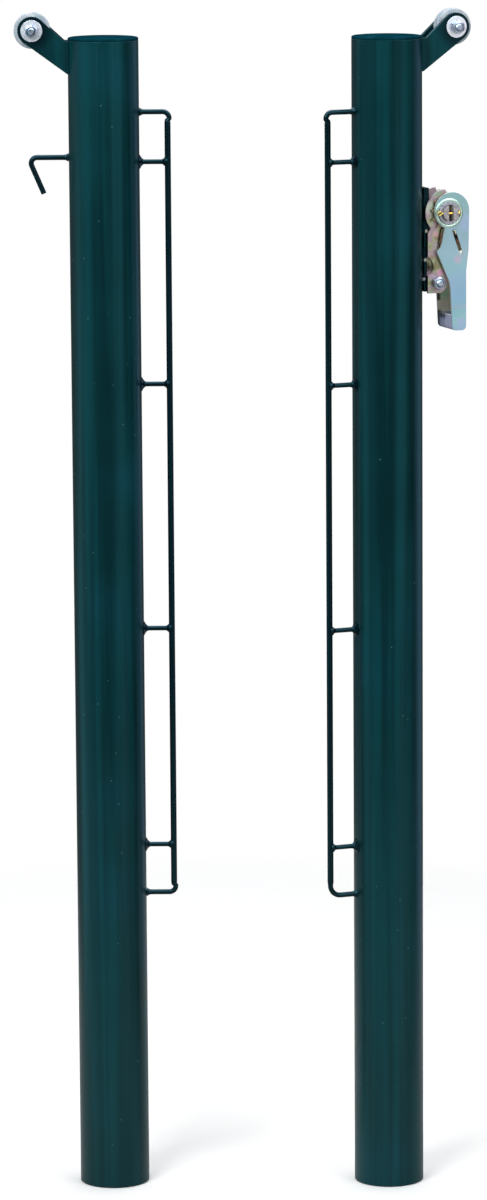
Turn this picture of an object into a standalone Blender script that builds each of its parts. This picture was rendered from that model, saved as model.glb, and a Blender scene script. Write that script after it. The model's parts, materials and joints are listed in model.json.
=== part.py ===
"""Pair of padel net posts: a hook post and a ratchet post.

Each post is a round steel tube that drops into a ground socket. On its inner side it carries a long rod
for the net's lacing, and on its outer side, at the top, a forked arm with a pulley for the net's cable.
The cable's loop hangs on the bar hook of one post, and the ratchet on the other post winds it tight.

Each post has its own frame: +X points outwards, away from the net, +Z up, and Z = 0 is the tube's foot.
"""
import math

import bpy
import bmesh
from mathutils import Matrix, Vector

MM = 0.001

# Clearances
SEAT = 0.3 * MM  # between pieces that rest on each other
RUN = 0.4 * MM  # between pieces that turn or slide past each other

# Post tube
TUBE_R = 40 * MM
TUBE_WALL = 3 * MM
TUBE_LENGTH = 1327 * MM
TUBE_EDGE = 0.8 * MM
POST_SPACING = 320 * MM  # axis to axis, as the pair stands side by side
RATCHET_POST_TURN = math.radians(21)

# Cap in the tube's top
CAP_FLANGE = 2.7 * MM
CAP_CROWN = 0.6 * MM
CAP_EDGE_R = 1.6 * MM
CAP_PLUG_DEPTH = 22 * MM
CAP_WALL = 2.5 * MM

# Forked pulley arm
PULLEY_REACH = 40 * MM  # pulley axis from the tube's face
PULLEY_OUT = TUBE_R + PULLEY_REACH
PULLEY_RISE = 11 * MM  # pulley axis above the tube's top edge
ARM_THICKNESS = 5 * MM
ARM_END_R = 16 * MM
ARM_TOP_REACH = 4 * MM  # where the arm's upper edge comes down to the tube's top
ARM_TOP_OUT = TUBE_R + ARM_TOP_REACH
ARM_TOP_DOWN = 0.5 * MM
ARM_ROOT_HEIGHT = 38 * MM

# Pulley
PULLEY_R = 20.6 * MM
PULLEY_WIDTH = 13 * MM
PULLEY_HUB_R = 9 * MM
PULLEY_WEB_WIDTH = 9 * MM
GROOVE_R = 16.2 * MM
GROOVE_WIDTH = 8 * MM
RIM_FLAT = 1.2 * MM
BUSH_R = 6.5 * MM

# Hexagon fasteners
BOLT_R = 4 * MM
HEX_ACROSS = 13 * MM
HEAD_HEIGHT = 5.3 * MM
NUT_HEIGHT = 6.8 * MM
BOLT_PAST_NUT = 2.2 * MM
WASHER_R = 12.3 * MM
WASHER_THICKNESS = 1.5 * MM

# Lacing rod and its rungs
ROD_REACH = 32 * MM  # rod axis from the tube's face
ROD_OUT = TUBE_R + ROD_REACH
ROD_R = 3.5 * MM
RUNG_R = 2.8 * MM
END_RUNG_R = 3 * MM
ROD_DOWN = 81.5 * MM  # rod's top corner below the tube's top
ROD_LENGTH = 902.5 * MM
ROD_TOP_Z = TUBE_LENGTH - ROD_DOWN
ROD_FOOT_Z = ROD_TOP_Z - ROD_LENGTH
RUNG_STEP_END = 56.5 * MM
RUNG_STEP_NEXT = 253.5 * MM
CORNER_R = 7.5 * MM
CORNER_BULGE = 2 * MM
CORNER_TAIL = 3.5 * MM
TUBE_WELD_R = 9 * MM
TUBE_WELD_LENGTH = 5.5 * MM
ROD_WELD_R = 5.4 * MM
ROD_WELD_LENGTH = 3.6 * MM

# Cable hook
HOOK_DOWN = 132.5 * MM
HOOK_Z = TUBE_LENGTH - HOOK_DOWN
HOOK_BAR_R = 3.1 * MM
HOOK_BAR_REACH = 46 * MM
HOOK_REACH = TUBE_R + HOOK_BAR_REACH
HOOK_LEG = 44.5 * MM
HOOK_ANGLE = math.radians(67)  # leg below the horizontal
HOOK_BEND_R = 6.5 * MM
HOOK_WELD_R = 8.4 * MM

# Ratchet: spindle axis, and widths out from the middle plane
SPINDLE_REACH = 27.3 * MM
SPINDLE_DOWN = 198.6 * MM
SPINDLE_OUT = TUBE_R + SPINDLE_REACH
SPINDLE_Z = TUBE_LENGTH - SPINDLE_DOWN
FRAME_INSIDE = 13 * MM
FRAME_SHEET = 3 * MM
WHEEL_THICKNESS = 3 * MM
HANDLE_SHEET = 2 * MM
SPINDLE_WASHER = 1.6 * MM
SPINDLE_WASHER_R = 13 * MM
COTTER_R = 1.3 * MM
SPINDLE_END = 1.6 * MM
SPINDLE_R = 9 * MM
SPINDLE_SLOT = 6 * MM

# Mounting bar: flat steel on edge between the ratchet's cheeks, stitch-welded to the tube
BAR_THICKNESS = 6 * MM
BAR_WIDTH = 25 * MM
BAR_RISE = 28.6 * MM  # bar's ends above and below the spindle axis
BAR_DROP = 89.4 * MM
BAR_TOP_Z = SPINDLE_Z + BAR_RISE
BAR_FOOT_Z = SPINDLE_Z - BAR_DROP
STITCHES = 4
STITCH_LENGTH = 12 * MM
BEAD_R = 1.8 * MM

# Ratchet frame, in side view from the spindle axis
CAM_R = 26.7 * MM
HUB_R = 14 * MM
LEDGE_R = 22 * MM
CLAW_ANGLE = math.radians(95)
CAM_END_ANGLE = math.radians(205)
LEDGE_ANGLE = math.radians(-60)
FRAME_BACK = -23.8 * MM
FRAME_FOOT = 91 * MM
NECK_OUT = -20.2 * MM
NECK_UP = -17.6 * MM
WEB_TOP = -12 * MM
REAR_BOLT_OUT = -11.7 * MM
REAR_BOLT_UP = -79.5 * MM
REAR_LOBE_R = 11.8 * MM
SPACER_R = 5.6 * MM
MOUNT_BOLT_UP = (-24 * MM, -64 * MM)
MOUNT_BOLT_LENGTH = 16 * MM
RECESS_OUT = -29.8 * MM
RECESS_UP = -60.3 * MM
RECESS_R = 12.5 * MM

# Ratchet wheels
TEETH = 12
TIP_R = 21 * MM
ROOT_R = 15.5 * MM
TOOTH_LAND = math.radians(4)
TOOTH_PHASE = math.radians(-1.9)  # a steep face, measured from the holding pawl's slide line

# Pawls: sheet, slide lines, and distances along them from the spindle axis
PAWL_SHEET = 3.6 * MM
TONGUE_HALF = 1.6 * MM
HOLD_ANGLE = math.radians(-101)
HOLD_OFFSET = -2.8 * MM
HOLD_NOSE = 16.6 * MM
HOLD_BEVEL = 3 * MM
HOLD_RECESS = 21 * MM
HOLD_SHOULDER = 36 * MM
HOLD_TONGUE = 47 * MM
HOLD_REST = 54 * MM
HOLD_TRAVEL = 5.5 * MM
DRIVE_ANGLE = math.radians(-71)
DRIVE_OFFSET = -1.1 * MM
DRIVE_NOSE = 22.3 * MM
DRIVE_EAR = (26 * MM, 36 * MM)
DRIVE_SHOULDER = 33 * MM
DRIVE_REST = 50.5 * MM
DRIVE_TONGUE = 55.5 * MM
DRIVE_TRAVEL = 4 * MM
DRIVE_SLOT_START = 19.5 * MM
EAR_PROUD = 0.8 * MM
HORN_HALF = 14 * MM
REST_THICKNESS = 2.5 * MM
REST_HALF = 5 * MM
PULL_HALF = 10 * MM
PULL_LENGTH = 3 * MM
PULL_HEIGHT = 5 * MM

# Pawl springs
SPRING_R = 3.3 * MM
SPRING_WIRE_R = 0.55 * MM
HOLD_TURNS = 6
DRIVE_TURNS = 5
POINTS_PER_TURN = 8

# Handle, in side view from the spindle axis
HEAD_CENTRE = (3.5 * MM, 2.3 * MM)
HEAD_R = 21.1 * MM
HEAD_END_ANGLE = math.radians(246)
HANDLE_NECK = (-10.2 * MM, -39 * MM)
HANDLE_SHOULDER = (-15 * MM, -43.6 * MM)
HANDLE_WAIST = (1.3 * MM, -80 * MM)
HANDLE_INNER = 4.1 * MM  # inner edge at the grip
HANDLE_OUTER = 20.9 * MM  # outer edge at the grip
HANDLE_HIP = (23.8 * MM, -43 * MM)
HANDLE_BACK_UP = -66 * MM  # where the outer edge starts to lean towards the head
HANDLE_LENGTH = 134.5 * MM
HANDLE_CORNER_R = 5 * MM
HANDLE_WAIST_R = 30 * MM
HANDLE_BACK_R = 15 * MM
HANDLE_HIP_R = 20 * MM
GRIP_HEIGHT = 17.5 * MM
BACK_TOP = -68 * MM
FOLD_R = 2.8 * MM
WINDOW_SLOT = (-9.6 * MM, -20 * MM, -12.6 * MM, -37 * MM)
WINDOW_SLOT_R = 1.5 * MM

ROUND = 30
FINE_ROUND = 72
SMALL_ROUND = 22

TUBE_TOP = TUBE_LENGTH
PULLEY_Z = TUBE_TOP + PULLEY_RISE
ARM_INNER_FACE = PULLEY_WIDTH / 2 + RUN
ARM_MIDDLE = ARM_INNER_FACE + ARM_THICKNESS / 2
FRAME_OUT = FRAME_INSIDE + FRAME_SHEET
WHEEL_IN = FRAME_OUT + RUN
WHEEL_OUT = WHEEL_IN + WHEEL_THICKNESS
HANDLE_IN = WHEEL_OUT + RUN
HANDLE_OUT = HANDLE_IN + HANDLE_SHEET
WASHER_IN = HANDLE_OUT + SEAT
WASHER_OUT = WASHER_IN + SPINDLE_WASHER
COTTER_AT = WASHER_OUT + SEAT + COTTER_R
SPINDLE_HALF = COTTER_AT + COTTER_R + SPINDLE_END
SPINDLE_HOLE_R = SPINDLE_R + RUN
BAR_BACK = TUBE_R + SEAT
BAR_FACE = BAR_BACK + BAR_THICKNESS
WEB_BACK = BAR_FACE + SEAT - SPINDLE_OUT
WEB_FACE = WEB_BACK + FRAME_SHEET


def new_collection(name, hidden=False):
    found = bpy.data.collections.new(name)
    found.hide_render = hidden
    bpy.context.scene.collection.children.link(found)
    return found


def clear_scene():
    for found in list(bpy.data.objects):
        bpy.data.objects.remove(found, do_unlink=True)


clear_scene()
PARTS = new_collection("padel_net_posts")
CUTTERS = new_collection("cutters", hidden=True)
MATERIALS = {}


def linear(channel):
    return channel / 12.92 if channel <= 0.04045 else ((channel + 0.055) / 1.055) ** 2.4


def material(name, colour, roughness, metallic):
    """A Principled material from an sRGB hex colour."""
    made = bpy.data.materials.new(name)
    made.use_nodes = True
    shader = made.node_tree.nodes["Principled BSDF"]
    channels = [int(colour[i:i + 2], 16) / 255 for i in (0, 2, 4)]
    shader.inputs["Base Color"].default_value = (*[linear(c) for c in channels], 1)
    shader.inputs["Roughness"].default_value = roughness
    shader.inputs["Metallic"].default_value = metallic
    MATERIALS[name] = made


material("painted_tube", "11404A", 0.35, 0.0)
material("black_plastic", "17191B", 0.45, 0.0)
material("nylon", "B9C2C8", 0.4, 0.0)
material("bronze", "A9783F", 0.35, 1.0)
material("bright_zinc", "C6CCD2", 0.3, 1.0)
material("yellow_zinc", "B7AE86", 0.35, 1.0)
material("blue_zinc", "9FBCC6", 0.32, 1.0)
material("spring_steel", "8F9294", 0.3, 1.0)


def empty(name, matrix, parent=None):
    found = bpy.data.objects.new(name, None)
    found.empty_display_size = 0.03
    PARTS.objects.link(found)
    found.parent = parent
    found.matrix_local = matrix
    return found


def add(name, data, look, parent, matrix):
    """Links a solid at a place in its parent's frame. With no look it is a helper for a Boolean."""
    made = bpy.data.objects.new(name, data)
    if look:
        PARTS.objects.link(made)
        data.materials.append(MATERIALS[look])
    else:
        CUTTERS.objects.link(made)
        made.hide_render = True
        made.display_type = "WIRE"
    made.parent = parent
    made.matrix_local = matrix
    return made


def shade(mesh):
    mesh.shade_smooth()
    mesh.set_sharp_from_angle(angle=math.radians(35))


def shift(x=0.0, y=0.0, z=0.0):
    return Matrix.Translation((x, y, z))


def across(side):
    """Turns a shape so that its own +Z points along the frame's Y, to the given side."""
    return Matrix.Rotation(-side * math.pi / 2, 4, "X")


SIDE_VIEW = across(-1)  # a flat outline's x and y become the frame's x and z


def turned(name, profile, look, parent, matrix, segments=ROUND, loop=False):
    """A profile of (radius, height) points, from top to bottom down the outer side, spun about Z."""
    mesh = bpy.data.meshes.new(name)
    count = len(profile)
    edges = [(i, i + 1) for i in range(count - 1)]
    if loop:
        edges.append((count - 1, 0))
    mesh.from_pydata([(r, 0, z) for r, z in profile], edges, [])
    made = add(name, mesh, look, parent, matrix)
    screw = made.modifiers.new("turn", "SCREW")
    screw.axis = "Z"
    screw.angle = 2 * math.pi
    screw.steps = screw.render_steps = segments
    screw.use_merge_vertices = True
    screw.merge_threshold = 0.00001
    screw.use_smooth_shade = True
    return made


def ring(name, outer, inner, top, bottom, look, parent, matrix, segments=ROUND):
    profile = [(outer, top), (outer, bottom), (inner, bottom), (inner, top)]
    return turned(name, profile, look, parent, matrix, segments, loop=True)


def prism(name, radius, length, look, parent, matrix, segments=SMALL_ROUND):
    """A cylinder or hexagon centred on its own Z axis."""
    mesh = bpy.data.meshes.new(name)
    bm = bmesh.new()
    bmesh.ops.create_cone(
        bm, cap_ends=True, segments=segments, radius1=radius, radius2=radius, depth=length
    )
    bm.to_mesh(mesh)
    bm.free()
    shade(mesh)
    return add(name, mesh, look, parent, matrix)


def box(name, low, high, look, parent, matrix=Matrix()):
    mesh = bpy.data.meshes.new(name)
    bm = bmesh.new()
    middle = (Vector(low) + Vector(high)) / 2
    size = Vector(high) - Vector(low)
    bmesh.ops.create_cube(bm, size=1, matrix=Matrix.Translation(middle) @ Matrix.Diagonal((*size, 1)))
    bm.to_mesh(mesh)
    bm.free()
    return add(name, mesh, look, parent, matrix)


def as_mesh(curve_object, name, look, parent, matrix):
    """The curve's solid as a welded mesh, so that Booleans take it."""
    bpy.context.view_layer.update()
    graph = bpy.context.evaluated_depsgraph_get()
    mesh = bpy.data.meshes.new_from_object(curve_object.evaluated_get(graph))
    bpy.data.objects.remove(curve_object, do_unlink=True)
    mesh.name = name
    mesh.materials.clear()
    bm = bmesh.new()
    bm.from_mesh(mesh)
    bmesh.ops.remove_doubles(bm, verts=bm.verts, dist=0.000001)
    bm.to_mesh(mesh)
    bm.free()
    shade(mesh)
    return add(name, mesh, look, parent, matrix)


def flat(name, outlines, thickness, look, parent, matrix):
    """Closed outlines in the XY plane, the first the edge and the rest holes, as a plate about Z = 0."""
    curve = bpy.data.curves.new(name, "CURVE")
    curve.dimensions = "2D"
    curve.fill_mode = "BOTH"
    curve.extrude = thickness / 2
    for outline in outlines:
        spline = curve.splines.new("POLY")
        spline.points.add(len(outline) - 1)
        for point, (x, y) in zip(spline.points, outline):
            point.co = (x, y, 0, 1)
        spline.use_cyclic_u = True
    return as_mesh(add(name, curve, None, None, Matrix()), name, look, parent, matrix)


def bar(name, points, radius, look, parent, matrix=Matrix(), scales=None, resolution=3):
    """A round bar along the points. scales gives each point's share of the radius."""
    curve = bpy.data.curves.new(name, "CURVE")
    curve.dimensions = "3D"
    curve.bevel_depth = radius
    curve.bevel_resolution = resolution
    curve.use_fill_caps = True
    spline = curve.splines.new("POLY")
    spline.points.add(len(points) - 1)
    for i, (point, place) in enumerate(zip(spline.points, points)):
        point.co = (*place, 1)
        point.radius = scales[i] if scales else 1
    return as_mesh(add(name, curve, None, None, Matrix()), name, look, parent, matrix)


def boolean(target, other, operation="DIFFERENCE"):
    modifier = target.modifiers.new(operation.lower() + "_" + other.name, "BOOLEAN")
    modifier.operation = operation
    modifier.object = other
    return target


def arc(centre, radius, start, end, count=8):
    """Points on an arc, both ends included. Angles in radians, and end below start runs clockwise."""
    steps = [start + (end - start) * i / count for i in range(count + 1)]
    return [(centre[0] + radius * math.cos(a), centre[1] + radius * math.sin(a)) for a in steps]


def circle(centre, radius, count=SMALL_ROUND):
    return arc(centre, radius, 0, 2 * math.pi * (count - 1) / count, count - 1)


def rounded(points, radii, count=4):
    """A closed polygon with each corner replaced by an arc of its own radius."""
    out = []
    for i, radius in enumerate(radii):
        corner = Vector(points[i])
        if radius <= 0:
            out.append(tuple(corner))
            continue
        back = (Vector(points[i - 1]) - corner).normalized()
        ahead = (Vector(points[(i + 1) % len(points)]) - corner).normalized()
        half = back.angle(ahead) / 2
        centre = corner + (back + ahead).normalized() * (radius / math.sin(half))
        first = corner + back * (radius / math.tan(half)) - centre
        last = corner + ahead * (radius / math.tan(half)) - centre
        turn = first.angle_signed(last)
        for k in range(count + 1):
            angle = -turn * k / count
            out.append(tuple(centre + Matrix.Rotation(angle, 2) @ first))
    return out


def weld_scales(points, bar_r, weld_r, weld_length):
    """Radius shares for a bar whose first points flare into a weld fillet."""
    start = Vector(points[0])
    shares = []
    for place in points:
        run = (Vector(place) - start).length / weld_length
        flare = (1 - min(run, 1)) ** 2
        shares.append(1 + flare * (weld_r / bar_r - 1))
    return shares


def tube_cutter(name, parent):
    """The tube's outside with the seat's clearance, to shape what is welded to it."""
    radius = (TUBE_R + SEAT) / math.cos(math.pi / FINE_ROUND)
    return prism(name, radius, TUBE_LENGTH * 1.2, None, parent, shift(z=TUBE_LENGTH / 2), FINE_ROUND)


def make_tube(post, prefix):
    inner = TUBE_R - TUBE_WALL
    profile = [
        (TUBE_R - TUBE_EDGE / 2, TUBE_TOP),
        (TUBE_R, TUBE_TOP - TUBE_EDGE / 2),
        (TUBE_R, TUBE_EDGE),
        (TUBE_R - TUBE_EDGE, 0),
        (inner, 0),
        (inner, TUBE_TOP),
    ]
    return turned(prefix + "tube", profile, "painted_tube", post, Matrix(), FINE_ROUND, loop=True)


def make_cap(post, prefix):
    """Plug with a rounded flange. Its underside is open."""
    plug = TUBE_R - TUBE_WALL - SEAT
    low = TUBE_TOP + SEAT
    top = low + CAP_FLANGE
    corner = (TUBE_R - CAP_EDGE_R, top - CAP_EDGE_R)
    profile = [(0, top + CAP_CROWN), (TUBE_R * 0.6, top + CAP_CROWN * 0.64)]
    profile += arc(corner, CAP_EDGE_R, math.pi / 2, 0, 3)
    profile += [
        (TUBE_R, low),
        (plug, low),
        (plug, low - CAP_PLUG_DEPTH),
        (plug - CAP_WALL, low - CAP_PLUG_DEPTH),
        (plug - CAP_WALL, low - CAP_WALL / 2),
        (0, low - CAP_WALL / 2),
    ]
    turned(prefix + "cap", profile, "black_plastic", post, Matrix(), 40)


def tangent_angle(point, centre, radius, side):
    """Direction from a point outside a circle to where its tangent touches, on the given side."""
    gap = Vector(centre) - Vector(point)
    return math.atan2(gap.y, gap.x) + side * math.asin(radius / gap.length)


def make_arm(post, prefix, cutter):
    """Two flat cheeks, coped to the tube, with round ends about the pulley's bolt."""
    centre = (PULLEY_OUT, PULLEY_Z)
    upper = (ARM_TOP_OUT, TUBE_TOP - ARM_TOP_DOWN)
    lower = (TUBE_R, TUBE_TOP - ARM_ROOT_HEIGHT)
    inside = TUBE_R - 3 * TUBE_WALL
    high = tangent_angle(upper, centre, ARM_END_R, 1)
    low = tangent_angle(lower, centre, ARM_END_R, -1)
    outline = [(inside, lower[1]), lower]
    outline += arc(centre, ARM_END_R, low - math.pi / 2, high + math.pi / 2, 16)
    outline += [upper, (inside, upper[1])]
    hole = circle(centre, BOLT_R + SEAT)
    for side, word in ((1, "a"), (-1, "b")):
        cheek = flat(
            prefix + "arm_cheek_" + word, [outline, hole], ARM_THICKNESS, "painted_tube", post,
            shift(y=side * ARM_MIDDLE) @ SIDE_VIEW,
        )
        boolean(cheek, cutter)


def make_pulley(post, prefix):
    """Grooved wheel with a thinner web, on a bush. Both turn about the bolt."""
    axis = empty(prefix + "pulley_axis", shift(PULLEY_OUT, 0, PULLEY_Z) @ across(1), post)
    half = PULLEY_WIDTH / 2
    web = PULLEY_WEB_WIDTH / 2
    rim_in = GROOVE_R - 3 * MM
    bore = BUSH_R + SEAT
    groove = [
        (PULLEY_R, GROOVE_WIDTH / 2),
        (GROOVE_R + 0.9 * MM, GROOVE_WIDTH * 0.4),
        (GROOVE_R, GROOVE_WIDTH * 0.19),
        (GROOVE_R, -GROOVE_WIDTH * 0.19),
        (GROOVE_R + 0.9 * MM, -GROOVE_WIDTH * 0.4),
        (PULLEY_R, -GROOVE_WIDTH / 2),
    ]
    rim_top = [(PULLEY_R - RIM_FLAT / 2, half), (PULLEY_R, half - RIM_FLAT / 2)]
    rim_low = [(r, -z) for r, z in reversed(rim_top)]
    low_side = [(rim_in, -half), (rim_in, -web), (PULLEY_HUB_R, -web), (PULLEY_HUB_R, -half), (bore, -half)]
    high_side = [(r, -z) for r, z in reversed(low_side)]
    profile = rim_top + groove + rim_low + low_side + high_side
    turned(prefix + "pulley", profile, "nylon", axis, Matrix(), ROUND, loop=True)
    ring(
        prefix + "pulley_bush", BUSH_R, BOLT_R + SEAT, half, -half, "bronze", axis, Matrix(), SMALL_ROUND
    )


def hex_radius(across_flats):
    return across_flats / math.sqrt(3)


def hex_bolt(name, length, look, parent, matrix, head=HEAD_HEIGHT, across_flats=HEX_ACROSS, radius=BOLT_R):
    """Shank from Z = 0 down to -length, with the head above."""
    shank_length = length + head / 2
    made = prism(name, radius, shank_length, look, parent, matrix @ shift(z=head / 2 - shank_length / 2))
    head_solid = prism(
        name + "_head", hex_radius(across_flats), head, None, parent, matrix @ shift(z=head / 2), 6
    )
    return boolean(made, head_solid, "UNION")


def hex_nut(name, look, parent, matrix):
    """Nut with its lower face at Z = 0."""
    outline = circle((0, 0), hex_radius(HEX_ACROSS), 6)
    hole = circle((0, 0), BOLT_R + SEAT)
    return flat(name, [outline, hole], NUT_HEIGHT, look, parent, matrix @ shift(z=NUT_HEIGHT / 2))


def make_pulley_bolt(post, prefix, front):
    """Bolt, two wide washers and a nut. The nut is on the front."""
    place = shift(PULLEY_OUT, 0, PULLEY_Z) @ across(front)
    face = ARM_MIDDLE + ARM_THICKNESS / 2
    washer_low = face + SEAT
    washer_high = washer_low + WASHER_THICKNESS
    for side, word in ((1, "front"), (-1, "rear")):
        ring(
            prefix + "pulley_washer_" + word, WASHER_R, BOLT_R + SEAT, washer_high, washer_low,
            "bright_zinc", post, place @ Matrix.Rotation(0 if side > 0 else math.pi, 4, "X"),
        )
    seat = washer_high + SEAT
    hex_nut(prefix + "pulley_nut", "bright_zinc", post, place @ shift(z=seat))
    length = 2 * seat + NUT_HEIGHT + BOLT_PAST_NUT
    flip = Matrix.Rotation(math.pi, 4, "X")
    hex_bolt(prefix + "pulley_bolt", length, "bright_zinc", post, place @ shift(z=-seat) @ flip)


def rod_post(post):
    """Frame of the lacing rod: its +X points from the tube to the rod."""
    return Matrix.Rotation(math.pi, 4, "Z")


def make_end_rung(post, prefix, word, height, up, corner_r, bulge, cutter):
    """Bar from the tube that bends along the rod and is butt-welded to its end."""
    start = TUBE_R - TUBE_WALL
    outer = ROD_OUT + bulge
    count = 5
    straight_end = outer - corner_r
    points = [(start + (TUBE_WELD_LENGTH + TUBE_WALL) * i / count, 0, height) for i in range(count + 1)]
    centre = (straight_end, height - up * corner_r)
    bend = arc(centre, corner_r, up * math.pi / 2, 0, 8)
    points += [(x, 0, z) for x, z in bend]
    end = height - up * (corner_r + CORNER_TAIL)
    points.append((ROD_OUT, 0, end + up * CORNER_TAIL / 3))
    points.append((ROD_OUT, 0, end))
    scales = weld_scales(points, END_RUNG_R, TUBE_WELD_R, TUBE_WELD_LENGTH + TUBE_WALL)
    scales[-2] = (END_RUNG_R + ROD_R) / 2 / END_RUNG_R
    scales[-1] = ROD_R / END_RUNG_R
    name = prefix + "end_rung_" + word
    made = bar(name, points, END_RUNG_R, "painted_tube", post, rod_post(post), scales)
    boolean(made, cutter)
    return end


def make_rung(post, prefix, number, height, tube_cut, rod_cut):
    """Straight bar with a weld fillet at each end, coped to the tube and to the rod."""
    start = TUBE_R - TUBE_WALL
    length = ROD_OUT - start
    profile = [(0, length)]
    count = 4
    for i in range(count + 1):
        run = ROD_R + ROD_WELD_LENGTH * i / count
        flare = (1 - i / count) ** 2
        profile.append((RUNG_R + flare * (ROD_WELD_R - RUNG_R), length - run))
    profile.insert(1, (ROD_WELD_R, length))
    for i in range(count, -1, -1):
        run = TUBE_WALL + TUBE_WELD_LENGTH * i / count
        flare = (1 - i / count) ** 2
        profile.append((RUNG_R + flare * (TUBE_WELD_R - RUNG_R), run))
    profile += [(TUBE_WELD_R, 0), (0, 0)]
    name = prefix + "rung_" + str(number)
    along = Matrix.Rotation(math.pi / 2, 4, "Y")
    made = turned(name, profile, "painted_tube", post, rod_post(post) @ shift(start, 0, height) @ along, 12)
    boolean(made, tube_cut)
    boolean(made, rod_cut)


def make_lacing_rod(post, prefix, cutter, corners):
    """Rod with a bent end rung at each end and four straight rungs between them."""
    (top_r, top_bulge), (foot_r, foot_bulge) = corners
    top = make_end_rung(post, prefix, "top", ROD_TOP_Z, 1, top_r, top_bulge, cutter)
    foot = make_end_rung(post, prefix, "bottom", ROD_FOOT_Z, -1, foot_r, foot_bulge, cutter)
    length = top - foot - 2 * SEAT
    place = shift(-ROD_OUT, 0, (top + foot) / 2)
    prism(prefix + "lacing_rod", ROD_R, length, "painted_tube", post, place, 16)
    cut_r = (ROD_R + SEAT) / math.cos(math.pi / 16)
    rod_cut = prism(prefix + "rod_cutter", cut_r, length, None, post, place, 16)
    steps = (RUNG_STEP_END, RUNG_STEP_END + RUNG_STEP_NEXT)
    heights = [ROD_TOP_Z - steps[0], ROD_TOP_Z - steps[1], ROD_FOOT_Z + steps[1], ROD_FOOT_Z + steps[0]]
    for number, height in enumerate(heights, 1):
        make_rung(post, prefix, number, height, cutter, rod_cut)


def make_hook(post, prefix, cutter):
    """Bar that runs straight out, bends, and comes down and back, open below."""
    start = TUBE_R - TUBE_WALL
    run = TUBE_WELD_LENGTH + TUBE_WALL
    points = [(start + run * i / 5, 0, HOOK_Z) for i in range(6)]
    turn = math.pi - HOOK_ANGLE
    setback = HOOK_BEND_R * math.tan(turn / 2)
    centre = (HOOK_REACH - setback, HOOK_Z - HOOK_BEND_R)
    bend = arc(centre, HOOK_BEND_R, math.pi / 2, math.pi / 2 - turn, 10)
    points += [(x, 0, z) for x, z in bend]
    back = Vector((-math.cos(HOOK_ANGLE), 0, -math.sin(HOOK_ANGLE)))
    points.append(Vector((HOOK_REACH, 0, HOOK_Z)) + back * HOOK_LEG)
    scales = weld_scales(points, HOOK_BAR_R, HOOK_WELD_R, run)
    boolean(bar(prefix + "cable_hook", points, HOOK_BAR_R, "painted_tube", post, Matrix(), scales), cutter)


def make_post(prefix, matrix, front, corners, set_frame):
    post = empty(prefix + "post", matrix, set_frame)
    cutter = tube_cutter(prefix + "tube_cutter", post)
    tube = make_tube(post, prefix)
    make_cap(post, prefix)
    make_arm(post, prefix, cutter)
    make_pulley(post, prefix)
    make_pulley_bolt(post, prefix, front)
    make_lacing_rod(post, prefix, cutter, corners)
    return post, tube, cutter


def make_mounting_bar(post, tube, cutter):
    """Flat bar standing on the tube, with weld beads in stitches down both of its edges."""
    half = BAR_WIDTH / 2
    mount = box(
        "ratchet_mounting_bar", (BAR_BACK, -half, BAR_FOOT_Z), (BAR_FACE, half, BAR_TOP_Z),
        "painted_tube", post,
    )
    pitch = (BAR_TOP_Z - BAR_FOOT_Z) / STITCHES
    for number in range(STITCHES):
        for side in (-1, 1):
            place = shift(BAR_BACK - BEAD_R / 4, side * half, BAR_FOOT_Z + pitch * (number + 0.5))
            bead_name = "weld_bead_" + str(number) + ("_near" if side < 0 else "_far")
            boolean(mount, prism(bead_name, BEAD_R, STITCH_LENGTH, None, post, place, 10), "UNION")
    boolean(mount, cutter)
    for number, up in enumerate(MOUNT_BOLT_UP):
        place = shift(BAR_FACE, 0, SPINDLE_Z + up) @ Matrix.Rotation(math.pi / 2, 4, "Y")
        hole = prism("mount_hole_" + str(number), BOLT_R + SEAT, MOUNT_BOLT_LENGTH * 3, None, post, place)
        boolean(mount, hole)
        boolean(tube, hole)


def slide_point(angle, along, sideways):
    """Side-view point at a distance along a pawl's slide line, and sideways from the radial line."""
    ahead = Vector((math.cos(angle), math.sin(angle)))
    tangent = Vector((-math.sin(angle), math.cos(angle)))
    return tuple(ahead * along + tangent * sideways)


def slide_frame(angle):
    """Frame of a pawl: +X away from the spindle along the slide, +Z the way the angle grows."""
    return Matrix.Rotation(-angle, 4, "Y")


def frame_outline():
    """Side view of a cheek: cam and claw above, spindle hub, pawl ledge, and foot."""
    clear = DRIVE_OFFSET - PAWL_SHEET / 2 - 2 * RUN
    lane_top = slide_point(DRIVE_ANGLE, LEDGE_R, clear)
    lane_foot = slide_point(DRIVE_ANGLE, DRIVE_EAR[1] + RUN, clear)
    ledge_end = math.atan2(lane_top[1], lane_top[0])
    lobe = (REAR_BOLT_OUT, REAR_BOLT_UP)
    outline = arc((0, 0), CAM_R, CAM_END_ANGLE, CLAW_ANGLE, 18)
    outline += arc((0, 0), HUB_R, CLAW_ANGLE - math.radians(6), LEDGE_ANGLE, 20)
    outline += arc((0, 0), LEDGE_R, LEDGE_ANGLE, ledge_end, 4)
    outline += [lane_top, lane_foot]
    outline += arc(lobe, REAR_LOBE_R, math.radians(14), math.radians(-90), 8)
    outline += [(FRAME_BACK, lobe[1] - REAR_LOBE_R), (FRAME_BACK, NECK_UP * 1.3), (NECK_OUT, NECK_UP)]
    return outline


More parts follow.
